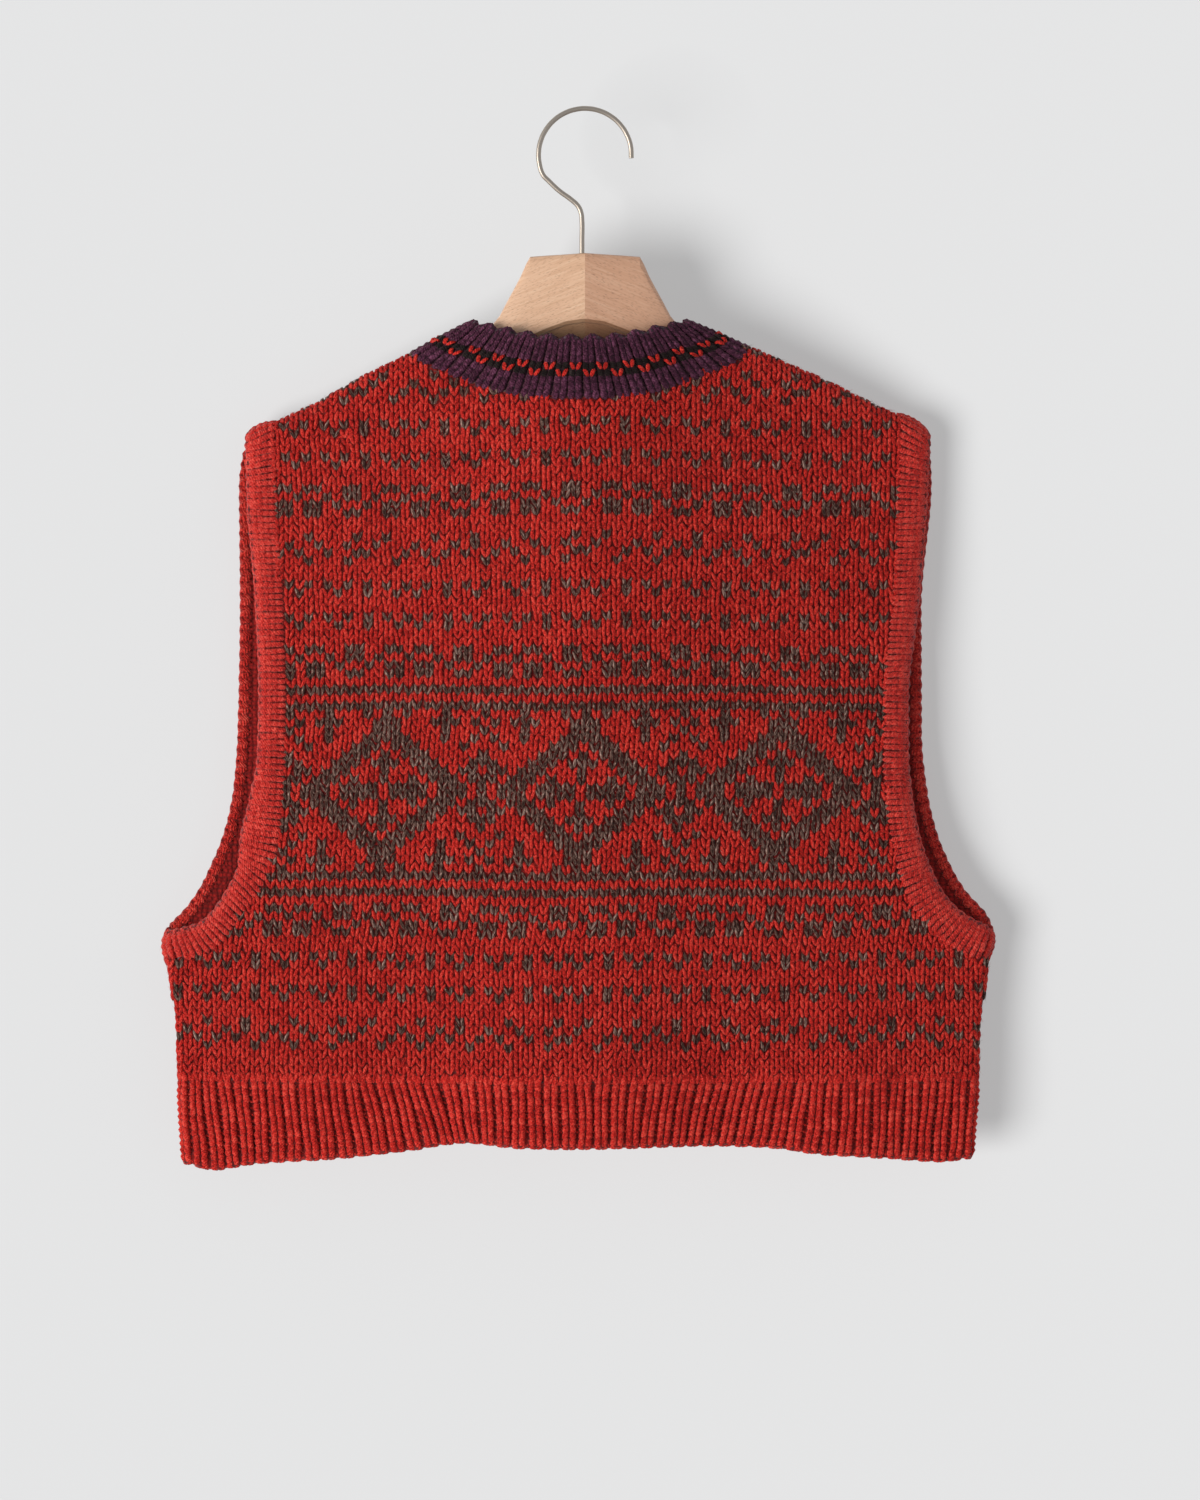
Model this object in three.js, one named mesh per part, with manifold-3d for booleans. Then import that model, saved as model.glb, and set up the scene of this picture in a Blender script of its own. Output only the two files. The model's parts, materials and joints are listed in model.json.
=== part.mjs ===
import * as THREE from "three";
import { mergeVertices } from "three/addons/utils/BufferGeometryUtils.js";
import Module from "manifold-3d";

// Knitted sweater vest on a wooden hanger. Millimetres, Z up, its shown back towards -Y.
// The origin is the inner crown of the hook, where a rod carries it.

const clothWall = 3;
const seamGap = 0.3;
const ribRaise = 1.1;
const shoulderRadius = 10;
const sideRadius = 6.5;
const bodyDepth = 16;
const neckDepth = 7;
const hemTop = -600;
const blockEnd = -250;
const neckCentre = -4;
const hemRibs = 46;
const neckRibs = 58;
const armholeRibs = 94;

const armThickness = 11;
const wireRadius = 1.55;
const hookRadius = 28.8;
const stemX = -1.9;
const woodTop = -88.3;
const holeDepth = 18;

// Shoulder line between the armhole edges; between the neck crests it is only a guide.
const shoulderLine = [
  { x: -213, z: -197.5 },
  { x: -204, z: -191.5 },
  { x: -196, z: -191 },
  { x: -181, z: -184.8 },
  { x: -166, z: -178 },
  { x: -152, z: -170 },
  { x: -134, z: -160.8 },
  { x: -106, z: -147.8 },
  { x: -87, z: -139.5 },
  { x: -70.5, z: -130 },
  { x: -4, z: -100 },
  { x: 64, z: -130 },
  { x: 84, z: -139 },
  { x: 112, z: -148.8 },
  { x: 132, z: -157.6 },
  { x: 153, z: -166.4 },
  { x: 172, z: -175.3 },
  { x: 191, z: -184.3 },
  { x: 200, z: -186.6 },
  { x: 208.5, z: -188.5 },
  { x: 216.5, z: -197 },
];

// Side folds of the body, hem to underarm.
const sideFold = [
  { z: -657, left: 248, right: 238 },
  { z: -651, left: 253, right: 241.5 },
  { z: -623, left: 253.6, right: 243.9 },
  { z: -598, left: 254.4, right: 245.9 },
  { z: -573, left: 255.8, right: 246.7 },
  { z: -548, left: 258.5, right: 250 },
  { z: -535, left: 260.6, right: 251.4 },
  { z: -522, left: 264.5, right: 253.4 },
  { z: -510, left: 265.3, right: 258 },
];

// Armholes from the shoulder to the underarm: the panel's edge, then the band's edge.
const armholes = {
  backLeft: [
    { z: -191, x: 196.3, edgeZ: -197, edgeX: 212.6 },
    { z: -239, x: 195.4, edgeZ: -239, edgeX: 211.6 },
    { z: -302, x: 191.2, edgeZ: -302, edgeX: 206 },
    { z: -365, x: 189.1, edgeZ: -365, edgeX: 203.3 },
    { z: -402, x: 189.2, edgeZ: -401, edgeX: 204.4 },
    { z: -427, x: 190.4, edgeZ: -425, edgeX: 208.7 },
    { z: -455, x: 193.4, edgeZ: -450, edgeX: 214.6 },
    { z: -479, x: 202.5, edgeZ: -468, edgeX: 216.2 },
    { z: -494, x: 213.4, edgeZ: -484, edgeX: 223.5 },
    { z: -505, x: 221.2, edgeZ: -496, edgeX: 231.5 },
    { z: -515, x: 228.5, edgeZ: -503.5, edgeX: 239.5 },
    { z: -521.5, x: 239.5, edgeZ: -507, edgeX: 248 },
    { z: -526, x: 255, edgeZ: -509, edgeX: 259 },
    { z: -528.5, x: 267.5, edgeZ: -510, edgeX: 269 },
  ],
  backRight: [
    { z: -187, x: 199.7, edgeZ: -197, edgeX: 216 },
    { z: -239, x: 197.7, edgeZ: -239, edgeX: 214.1 },
    { z: -302, x: 194.5, edgeZ: -302, edgeX: 208.5 },
    { z: -365, x: 188.7, edgeZ: -365, edgeX: 201.8 },
    { z: -402, x: 188.6, edgeZ: -402, edgeX: 201.8 },
    { z: -427, x: 189.7, edgeZ: -426, edgeX: 203.8 },
    { z: -452, x: 193.4, edgeZ: -450, edgeX: 208.5 },
    { z: -479, x: 199.6, edgeZ: -472, edgeX: 216.3 },
    { z: -494, x: 206.6, edgeZ: -484, edgeX: 222.5 },
    { z: -505, x: 216, edgeZ: -493, edgeX: 229.5 },
    { z: -515, x: 226.2, edgeZ: -500.5, edgeX: 239 },
    { z: -521.5, x: 239.1, edgeZ: -505, edgeX: 248.3 },
    { z: -526, x: 250.6, edgeZ: -508.5, edgeX: 255.5 },
    { z: -528.5, x: 256.5, edgeZ: -510, edgeX: 261.7 },
  ],
  frontLeft: [
    { z: -191, x: 196.3, edgeZ: -197, edgeX: 212.6 },
    { z: -230, x: 200.5, edgeZ: -230, edgeX: 217 },
    { z: -308, x: 201, edgeZ: -308, edgeX: 216 },
    { z: -389, x: 202, edgeZ: -388, edgeX: 217.3 },
    { z: -424, x: 204.8, edgeZ: -421, edgeX: 219.8 },
    { z: -453, x: 210.8, edgeZ: -447, edgeX: 225.4 },
    { z: -481, x: 221.8, edgeZ: -472.5, edgeX: 235.6 },
    { z: -495.5, x: 230.3, edgeZ: -485, edgeX: 242 },
    { z: -508, x: 240.3, edgeZ: -498, edgeX: 251.6 },
    { z: -518.5, x: 251.3, edgeZ: -505.5, edgeX: 259.9 },
    { z: -528.5, x: 267.5, edgeZ: -510, edgeX: 269 },
  ],
  frontRight: [
    { z: -187, x: 199.7, edgeZ: -197, edgeX: 216 },
    { z: -230, x: 201, edgeZ: -230, edgeX: 217 },
    { z: -308, x: 195.5, edgeZ: -308, edgeX: 210.1 },
    { z: -389, x: 195.5, edgeZ: -388, edgeX: 210.2 },
    { z: -424, x: 198.8, edgeZ: -421.5, edgeX: 213.5 },
    { z: -453, x: 205, edgeZ: -447, edgeX: 219.2 },
    { z: -481, x: 217, edgeZ: -472.5, edgeX: 230 },
    { z: -495.5, x: 226.5, edgeZ: -485, edgeX: 237.7 },
    { z: -508, x: 239, edgeZ: -497.7, edgeX: 249.5 },
    { z: -518.5, x: 245, edgeZ: -505, edgeX: 256 },
    { z: -525, x: 250.5, edgeZ: -508, edgeX: 259 },
    { z: -528.5, x: 256.5, edgeZ: -510, edgeX: 261.7 },
  ],
};

// Neck from its middle to the shoulder: the seam with the panel, then the band's top edge.
const neck = {
  back: [
    { x: 0, z: -177.4, topX: 0, topZ: -142 },
    { x: 25, z: -176.8, topX: 17, topZ: -141.6 },
    { x: 45, z: -173.5, topX: 31, topZ: -139.5 },
    { x: 62, z: -168.5, topX: 43, topZ: -136.8 },
    { x: 80, z: -161, topX: 55, topZ: -133.4 },
    { x: 95, z: -154.5, topX: 63, topZ: -131 },
    { x: 104.5, z: -147.3, topX: 67.4, topZ: -129.6 },
  ],
  front: [
    { x: 0, z: -232, topX: 0, topZ: -197 },
    { x: 25, z: -229, topX: 18, topZ: -195 },
    { x: 45, z: -221, topX: 33, topZ: -189 },
    { x: 62, z: -207, topX: 46, topZ: -179 },
    { x: 80, z: -186, topX: 57, topZ: -161 },
    { x: 95, z: -163, topX: 64, topZ: -142 },
    { x: 104.5, z: -147.3, topX: 67.4, topZ: -129.6 },
  ],
};

// Bottom edge of the hem.
const hemEdge = [
  { x: -246, z: -654 },
  { x: -234, z: -657.3 },
  { x: -205, z: -653 },
  { x: -148, z: -648.5 },
  { x: -111, z: -644.2 },
  { x: -74, z: -638.7 },
  { x: -37, z: -641.4 },
  { x: 0, z: -641.7 },
  { x: 74, z: -640.6 },
  { x: 111, z: -641.8 },
  { x: 149, z: -646.6 },
  { x: 186, z: -649.1 },
  { x: 224, z: -652.2 },
  { x: 235, z: -650.5 },
];

// Soft folds of the worn cloth: face is -1 on the back and 1 on the front, out is positive for a ridge.
const folds = [
  { face: -1, x: -113, width: 34, out: -4.5, from: -430, lean: 0.05 },
  { face: -1, x: -42, width: 28, out: 3.5, from: -470, lean: -0.03 },
  { face: -1, x: 78, width: 46, out: -4.5, from: -440, lean: 0.08 },
  { face: -1, x: 168, width: 30, out: 2.5, from: -420, lean: 0.04 },
  { face: -1, x: -178, width: 26, out: 2, from: -400, lean: 0 },
  { face: 1, x: -70, width: 40, out: -4, from: -440, lean: -0.06 },
  { face: 1, x: 20, width: 34, out: 3, from: -460, lean: 0.03 },
  { face: 1, x: 110, width: 38, out: -4, from: -420, lean: 0.04 },
  { face: 1, x: -165, width: 30, out: 2.5, from: -430, lean: 0 },
];

// Wooden hanger, half of it: top and underside of the head and arm.
const hangerHalf = [
  { x: 0, top: -88.3, under: -131.6 },
  { x: 12, top: -89, under: -133.2 },
  { x: 24, top: -89.6, under: -137.6 },
  { x: 34, top: -90.2, under: -142 },
  { x: 36.5, top: -94.5, under: -143 },
  { x: 40, top: -102.5, under: -144.6 },
  { x: 44.5, top: -110.8, under: -146.5 },
  { x: 49, top: -119, under: -148.6 },
  { x: 53, top: -126.6, under: -150.6 },
  { x: 58, top: -132.6, under: -153 },
];

function curve(rows, by, of) {
  const at = rows.map((row) => row[by]);
  const value = rows.map((row) => row[of]);
  const slope = at.slice(1).map((a, i) => (value[i + 1] - value[i]) / (a - at[i]));
  const tangent = at.map((a, i) => {
    if (i === 0 || i === at.length - 1) return slope[Math.min(i, slope.length - 1)];
    const product = slope[i - 1] * slope[i];
    return product <= 0 ? 0 : (2 * product) / (slope[i - 1] + slope[i]);
  });
  return (a) => {
    if (a <= at[0]) return value[0];
    if (a >= at[at.length - 1]) return value[at.length - 1];
    let i = 0;
    while (at[i + 1] < a) i += 1;
    const h = at[i + 1] - at[i];
    const t = (a - at[i]) / h;
    const s = 1 - t;
    return (
      value[i] * (1 + 2 * t) * s * s +
      tangent[i] * h * t * s * s +
      value[i + 1] * t * t * (3 - 2 * t) -
      tangent[i + 1] * h * t * t * s
    );
  };
}

const clamp = (v, low, high) => Math.min(high, Math.max(low, v));
const ease = (v) => {
  const t = clamp(v, 0, 1);
  return t * t * (3 - 2 * t);
};
const lerp = (a, b, t) => a.map((v, i) => v + (b[i] - v) * t);
const distance = (a, b) => Math.hypot(b[0] - a[0], b[1] - a[1], b[2] - a[2]);

const shoulderAt = curve(shoulderLine, "x", "z");
const hemAt = curve(hemEdge, "x", "z");
const foldLeft = curve(sideFold, "z", "left");
const foldRight = curve(sideFold, "z", "right");
const foldAt = (z, sign) => (sign < 0 ? foldLeft(z) : foldRight(z));

// How far the hanger's sweep sets the cloth back, easing towards the hem.
function setBack(x, z) {
  const sweep = 0.2 * (Math.hypot(x, 20) - 20) + 6 * (x / 200) ** 2;
  const eased = 1 - 0.4 * clamp((-215 - z) / 305, 0, 1) - 0.1 * clamp((-520 - z) / 130, 0, 1);
  return sweep * eased;
}

// What the body's depth adds to the shoulder's own depth.
function swell(face, x, z) {
  const drop = shoulderAt(x) - z;
  const flat = foldAt(z, x) - sideRadius;
  const share = clamp(Math.abs(x) / flat, 0, 1);
  const body = sideRadius + (bodyDepth - sideRadius) * (1 - share ** 3);
  const round = clamp(1 - ((x - neckCentre) / 105) ** 2, 0, 1) ** 2;
  let out = (body - shoulderRadius) * ease(drop / 150);
  out += neckDepth * round * ease(drop / 25) * (1 - 0.6 * ease((drop - 80) / 200));
  for (const fold of folds) {
    if (fold.face !== face) continue;
    const off = (x - fold.x - fold.lean * (z + 600)) / fold.width;
    out += fold.out * Math.exp(-off * off) * ease((fold.from - z) / 170) * (1 - share ** 6);
  }
  return out;
}

const quarter = (shoulderRadius * Math.PI) / 2;
const edgeLength = sideRadius * (Math.PI / 2 - 1);

// Length of cloth from the shoulder line down to a height.
function dropTo(across, z) {
  const down = shoulderAt(across) - z;
  if (down >= shoulderRadius) return quarter + down - shoulderRadius;
  return shoulderRadius * Math.acos(clamp(1 - down / shoulderRadius, -1, 1));
}

// A point of the cloth: face -1 back or 1 front, across and down along the cloth, inside from its outer face.
function clothPoint(face, across, down, inside) {
  const turn = Math.min(down / shoulderRadius, Math.PI / 2);
  const hang = shoulderAt(across) - shoulderRadius - Math.max(0, down - quarter);
  const outerZ = hang + shoulderRadius * Math.cos(turn);
  const z = hang + (shoulderRadius - inside) * Math.cos(turn);
  const sign = Math.sign(across) || 1;
  const flat = foldAt(outerZ, sign) - sideRadius;
  const past = Math.abs(across) - flat;
  let x = across;
  let depth = (shoulderRadius - inside) * Math.sin(turn) + swell(face, across, outerZ);
  if (past > 0) {
    const bend = Math.min(past / sideRadius, Math.PI / 2);
    x = sign * (flat + (sideRadius - inside) * Math.sin(bend));
    depth = (sideRadius - inside) * Math.cos(bend);
  }
  const y = setBack(x, outerZ) + face * (seamGap / 2 + depth);
  return [x, y, z];
}

// A closed body from rings of points, each ring once round its section; open ends are capped.
function skin(rings, closed) {
  const n = rings[0].length;
  const corners = [];
  const count = closed ? rings.length : rings.length - 1;
  for (let i = 0; i < count; i += 1) {
    const a = rings[i];
    const b = rings[(i + 1) % rings.length];
    for (let j = 0; j < n; j += 1) {
      const k = (j + 1) % n;
      corners.push(a[j], b[j], b[k], a[j], b[k], a[k]);
    }
  }
  if (!closed) {
    const last = rings[rings.length - 1];
    for (let j = 1; j < n - 1; j += 1) {
      corners.push(rings[0][0], rings[0][j], rings[0][j + 1]);
      corners.push(last[0], last[j + 1], last[j]);
    }
  }
  return bodyOf(corners);
}

function bodyOf(corners) {
  let volume = 0;
  for (let i = 0; i < corners.length; i += 3) {
    const [a, b, c] = [corners[i], corners[i + 1], corners[i + 2]];
    volume += a[0] * (b[1] * c[2] - b[2] * c[1]);
    volume += a[1] * (b[2] * c[0] - b[0] * c[2]);
    volume += a[2] * (b[0] * c[1] - b[1] * c[0]);
  }
  const flat = [];
  for (let i = 0; i < corners.length; i += 3) {
    const face = [corners[i], corners[i + 1], corners[i + 2]];
    if (volume < 0) face.reverse();
    for (const point of face) flat.push(...point);
  }
  const geometry = new THREE.BufferGeometry();
  geometry.setAttribute("position", new THREE.Float32BufferAttribute(flat, 3));
  const merged = mergeVertices(geometry, 1e-4);
  merged.computeVertexNormals();
  return merged;
}

// Columns across a panel, as shares from its left edge to its right one at the shoulder.
const neckSteps = [0, 25, 45, 62, 80, 92, 98.5, 102.3, 104.5];
const panelRows = [-295, -345, -395, -440, -465, -480, -494, -505, -515, -521.5, -526, -528.5];
const lowerRows = [-540, -560, -580, hemTop + seamGap / 2];
const blockShares = [0, 0.04, 0.08, 0.13, 0.2, 0.35, 0.6, 1];

function panelOf(face) {
  const side = face < 0 ? "back" : "front";
  const neckAt = curve(neck[side], "x", "z");
  const tables = { left: armholes[side + "Left"], right: armholes[side + "Right"] };
  const seamOf = {};
  for (const key of ["left", "right"]) {
    const down = tables[key].map((row) => ({ z: -row.z, x: row.x }));
    seamOf[key] = curve(down, "z", "x");
  }
  const halfAt = (z, key) => {
    const full = foldAt(z, key === "left" ? -1 : 1) + edgeLength;
    return z >= -528.5 ? Math.min(seamOf[key](-z), full) : full;
  };
  const leftTop = halfAt(-190, "left");
  const rightTop = halfAt(-186, "right");
  const shares = [];
  for (const step of neckSteps) {
    shares.push((neckCentre + step) / rightTop);
    if (step) shares.push((neckCentre - step) / leftTop);
  }
  for (const [top, sign, start] of [[leftTop, -1, 108.5], [rightTop, 1, 100.5]]) {
    for (let i = 1; i <= 4; i += 1) shares.push(sign * (start / top + (0.9614 - start / top) * (i / 4)));
    for (let i = 1; i <= 3; i += 1) shares.push(sign * (0.9614 + 0.0386 * (i / 3)));
  }
  shares.sort((a, b) => a - b);
  const acrossAt = (share, z) => share * (share < 0 ? halfAt(z, "left") : halfAt(z, "right"));
  const columns = shares.map((share) => {
    const topX = acrossAt(share, share < 0 ? -190 : -186);
    const fromNeck = Math.abs(topX - neckCentre);
    const first = fromNeck < 104.4 ? dropTo(topX, neckAt(fromNeck)) : 0;
    const last = dropTo(topX, blockEnd);
    const stops = blockShares.map((part) => {
      const down = first + (last - first) * part;
      const z = shoulderAt(topX) - down;
      const x = z < -200 ? acrossAt(share, Math.min(-200, z)) : topX;
      return [x, down];
    });
    for (const z of [...panelRows, ...lowerRows]) {
      const x = acrossAt(share, z);
      stops.push([x, dropTo(x, z)]);
    }
    return stops;
  });
  const grid = (inside) =>
    columns.map((stops) => stops.map(([x, down]) => clothPoint(face, x, down, inside)));
  return { face, shares, columns, outer: grid(0), inner: grid(clothWall), tables };
}

const back = panelOf(-1);
const front = panelOf(1);

const panelBody = (panel) => {
  const rings = panel.outer.map((column, i) => [...column, ...panel.inner[i].slice().reverse()]);
  return stripEnds(rings, panel);
};

// The two side edges of a panel are closed with strips rather than fans, so the wall stays true.
function stripEnds(rings) {
  const n = rings[0].length;
  const half = n / 2;
  const corners = [];
  for (let i = 0; i < rings.length - 1; i += 1) {
    const [a, b] = [rings[i], rings[i + 1]];
    for (let j = 0; j < n; j += 1) {
      const k = (j + 1) % n;
      corners.push(a[j], b[j], b[k], a[j], b[k], a[k]);
    }
  }
  for (const [ring, turned] of [[rings[0], false], [rings[rings.length - 1], true]]) {
    for (let j = 0; j < half - 1; j += 1) {
      const quad = [ring[j], ring[j + 1], ring[n - 2 - j], ring[n - 1 - j]];
      if (turned) quad.reverse();
      corners.push(quad[0], quad[1], quad[2], quad[0], quad[2], quad[3]);
    }
  }
  return bodyOf(corners);
}

// Where the panel's edge column meets a band, with the band's far edge beside each point.
function armholePairs(panel, key) {
  const table = panel.tables[key];
  const sign = key === "left" ? -1 : 1;
  const at = table.map((row) => ({ z: -row.z, edgeZ: row.edgeZ, edgeX: row.edgeX }));
  const edgeZ = curve(at, "z", "edgeZ");
  const edgeX = curve(at, "z", "edgeX");
  const column = key === "left" ? 0 : panel.columns.length - 1;
  const count = blockShares.length + panelRows.length;
  const pairs = [];
  for (let j = 0; j < count; j += 1) {
    const [, down] = panel.columns[column][j];
    const seamOuter = panel.outer[column][j];
    const seamInner = panel.inner[column][j];
    const z = seamOuter[2];
    const x = sign * edgeX(-z);
    const edgeDown = down < quarter ? down : dropTo(x, edgeZ(-z));
    const edge = (inside) => clothPoint(panel.face, x, Math.max(edgeDown, down < quarter ? 0 : quarter), inside);
    pairs.push({ seamOuter, seamInner, edgeOuter: edge(0), edgeInner: edge(clothWall) });
  }
  return pairs;
}

function neckPairs(panel) {
  const table = neck[panel.face < 0 ? "back" : "front"];
  const topX = curve(table, "x", "topX");
  const topZ = curve(table, "x", "topZ");
  const pairs = [];
  panel.columns.forEach((stops, i) => {
    const [x, down] = stops[0];
    const away = Math.abs(x - neckCentre);
    if (away > 104.6) return;
    const edgeX = neckCentre + Math.sign(x - neckCentre) * topX(away);
    const edgeDown = down < 0.01 ? 0 : dropTo(edgeX, topZ(away));
    const edge = (inside) => clothPoint(panel.face, edgeX, edgeDown, inside);
    pairs.push({
      seamOuter: panel.outer[i][0],
      seamInner: panel.inner[i][0],
      edgeOuter: edge(0),
      edgeInner: edge(clothWall),
    });
  });
  return pairs;
}

// A ribbed band run round closed control pairs, evenly spaced, raised on every rib's crest.
function bandBody(controls, ribs, perRib, clearAt) {
  const lengths = [0];
  controls.forEach((pair, i) => {
    const next = controls[(i + 1) % controls.length];
    const from = lerp(pair.seamOuter, pair.edgeOuter, 0.5);
    const to = lerp(next.seamOuter, next.edgeOuter, 0.5);
    lengths.push(lengths[i] + distance(from, to));
  });
  const total = lengths[controls.length];
  const stations = ribs * perRib;
  const rings = [];
  let i = 0;
  for (let k = 0; k < stations; k += 1) {
    const s = (total * k) / stations;
    while (lengths[i + 1] < s) i += 1;
    const t = (s - lengths[i]) / (lengths[i + 1] - lengths[i]);
    const [a, b] = [controls[i], controls[(i + 1) % controls.length]];
    const seamOuter = lerp(a.seamOuter, b.seamOuter, t);
    const seamInner = lerp(a.seamInner, b.seamInner, t);
    const edgeOuter = lerp(a.edgeOuter, b.edgeOuter, t);
    const edgeInner = lerp(a.edgeInner, b.edgeInner, t);
    const raise = k % perRib === perRib - 1 ? 0 : ribRaise;
    const lift = (outer, inner) => lerp(inner, outer, 1 + raise / distance(inner, outer));
    const width = distance(seamOuter, edgeOuter);
    const clear = clearAt(seamOuter) / width;
    const startOuter = lerp(seamOuter, edgeOuter, clear);
    const startInner = lerp(seamInner, edgeInner, clear);
    const nearOuter = lerp(seamOuter, edgeOuter, 0.88);
    const nearInner = lerp(seamInner, edgeInner, 0.88);
    rings.push([
      lift(startOuter, startInner),
      lift(nearOuter, nearInner),
      edgeOuter,
      edgeInner,
      startInner,
    ]);
  }
  return skin(rings, true);
}

const armholeBand = (key) => {
  const up = armholePairs(front, key).reverse();
  const clearAt = (point) => (point[2] < -515 ? 4 : 2) * seamGap;
  return bandBody([...armholePairs(back, key), ...up], armholeRibs, 2, clearAt);
};
const neckBand = () => {
  const clearAt = (point) => (point[2] > -155 ? 3 : 2) * seamGap;
  return bandBody([...neckPairs(back), ...neckPairs(front).reverse()], neckRibs, 3, clearAt);
};

// The ribbed welt below one panel.
function hemBody(face) {
  const top = hemTop - seamGap / 2;
  const ends = [-foldLeft(top) - edgeLength, foldRight(top) + edgeLength];
  const rings = [];
  const count = hemRibs * 3;
  for (let k = 0; k <= count; k += 1) {
    const share = (2 * k) / count - 1;
    const spot = (z) => {
      const half = share < 0 ? foldLeft(z) + edgeLength : foldRight(z) + edgeLength;
      return share * half;
    };
    const bottom = hemAt(share < 0 ? -share * ends[0] : share * ends[1]);
    const raise = k % 3 === 0 ? 0 : ribRaise;
    const point = (z, inside) => clothPoint(face, spot(z), dropTo(spot(z), z), inside);
    rings.push([
      point(top, -raise),
      point(bottom + 3, -raise),
      point(bottom, 0),
      point(bottom, clothWall),
      point(bottom + 3, clothWall),
      point(top, clothWall),
    ]);
  }
  return stripEnds(rings);
}

// The wooden hanger: sections along X, mirrored halves meeting in a ridge at the middle.
function woodSections() {
  const rows = [];
  const topAt = curve(hangerHalf, "x", "top");
  const underAt = curve(hangerHalf, "x", "under");
  for (const sign of [-1, 1]) {
    const stops = [];
    for (let x = 66; x <= 196; x += 10) stops.push(x);
    const tip = stops[stops.length - 1];
    for (const row of hangerHalf) if (row.x > 0 || sign > 0) stops.push(row.x);
    stops.sort((a, b) => a - b);
    for (const x of stops) {
      const lowered = clothWall + 1.6 + 3 * clamp((130 - x) / 20, 0, 1);
      let top = x <= 58 ? topAt(x) : shoulderAt(sign * x) - lowered;
      let under = x <= 58 ? underAt(x) : top - 19.5 + 4 * ((x - 58) / 140);
      let half = armThickness / 2 + (x < 40 ? 1 : clamp((60 - x) / 20, 0, 1));
      if (x === tip) {
        top -= 4;
        under += 4;
        half -= 2;
      }
      const middle = x < 67 ? (setBack(67, -130) * x) / 67 : setBack(x, -200);
      rows.push({ x: sign * x, top, under, half, middle });
    }
  }
  return rows.sort((a, b) => a.x - b.x);
}

function woodRing(row) {
  const soft = Math.min(2.5, row.half * 0.5);
  const { x, top, under, half, middle } = row;
  const ring = [
    [-half, under + soft],
    [-half, top - soft],
    [-half + soft, top],
    [half - soft, top],
    [half, top - soft],
    [half, under + soft],
    [half - soft, under],
    [-half + soft, under],
  ];
  return ring.map(([y, z]) => [x, middle + y, z]);
}

// The hook's wire: tip, ring, diagonal, bend and stem.
function wirePath() {
  const centreZ = wireRadius - hookRadius;
  const points = [];
  for (let turn = -4; turn <= 206; turn += 10) {
    const angle = (turn * Math.PI) / 180;
    points.push([hookRadius * Math.cos(angle), centreZ + hookRadius * Math.sin(angle)]);
  }
  points.push([-22.9, -43], [-16, -49.5], [-8.5, -55], [-4.3, -59], [-2.5, -63], [stemX, -68]);
  points.push([stemX, -80], [stemX, woodTop - holeDepth]);
  return points;
}

function wireBody(path, sides) {
  const rings = path.map((point, i) => {
    const before = path[Math.max(0, i - 1)];
    const after = path[Math.min(path.length - 1, i + 1)];
    const length = Math.hypot(after[0] - before[0], after[1] - before[1]);
    const across = [-(after[1] - before[1]) / length, (after[0] - before[0]) / length];
    const ring = [];
    for (let j = 0; j < sides; j += 1) {
      const angle = (2 * Math.PI * j) / sides;
      const out = wireRadius * Math.cos(angle);
      ring.push([point[0] + across[0] * out, wireRadius * Math.sin(angle), point[1] + across[1] * out]);
    }
    return ring;
  });
  return skin(rings, false);
}

const wasm = await Module();
wasm.setup();

function solidOf(geometry) {
  const plain = geometry.clone();
  plain.deleteAttribute("normal");
  plain.deleteAttribute("uv");
  const merged = mergeVertices(plain, 1e-4);
  return new wasm.Manifold(
    new wasm.Mesh({
      numProp: 3,
      vertProperties: new Float32Array(merged.attributes.position.array),
      triVerts: new Uint32Array(merged.index.array),
    }),
  );
}

function geometryOf(solid) {
  const mesh = solid.getMesh();
  const geometry = new THREE.BufferGeometry();
  geometry.setAttribute("position", new THREE.Float32BufferAttribute(mesh.vertProperties, 3));
  geometry.setIndex(Array.from(mesh.triVerts));
  geometry.computeVertexNormals();
  return geometry;
}

const bore = new THREE.CylinderGeometry(wireRadius + seamGap, wireRadius + seamGap, holeDepth + 6, 16);
bore.rotateX(Math.PI / 2);
bore.translate(stemX, 0, woodTop - holeDepth - seamGap + (holeDepth + 6) / 2);
const wood = skin(woodSections().map(woodRing), false);
const boredWood = geometryOf(solidOf(wood).subtract(solidOf(bore)));

const group = new THREE.Group();
const add = (name, geometry, color, roughness, metalness) => {
  const material = new THREE.MeshStandardMaterial({ color, roughness, metalness, flatShading: true });
  const mesh = new THREE.Mesh(geometry, material);
  mesh.name = name;
  group.add(mesh);
};

add("back_panel", panelBody(back), 0x8e3a36, 0.95, 0);
add("front_panel", panelBody(front), 0x8a3834, 0.95, 0);
add("hem_rib_back", hemBody(-1), 0x9c2420, 0.95, 0);
add("hem_rib_front", hemBody(1), 0x96221f, 0.95, 0);
add("neck_band", neckBand(), 0x4a2347, 0.95, 0);
add("armhole_band_left", armholeBand("left"), 0x8c2a2c, 0.95, 0);
add("armhole_band_right", armholeBand("right"), 0x882a2c, 0.95, 0);
add("hanger_wood", boredWood, 0xd3a888, 0.5, 0);
add("hanger_hook", wireBody(wirePath(), 10), 0xa79c92, 0.3, 0.9);

export default group;
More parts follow.
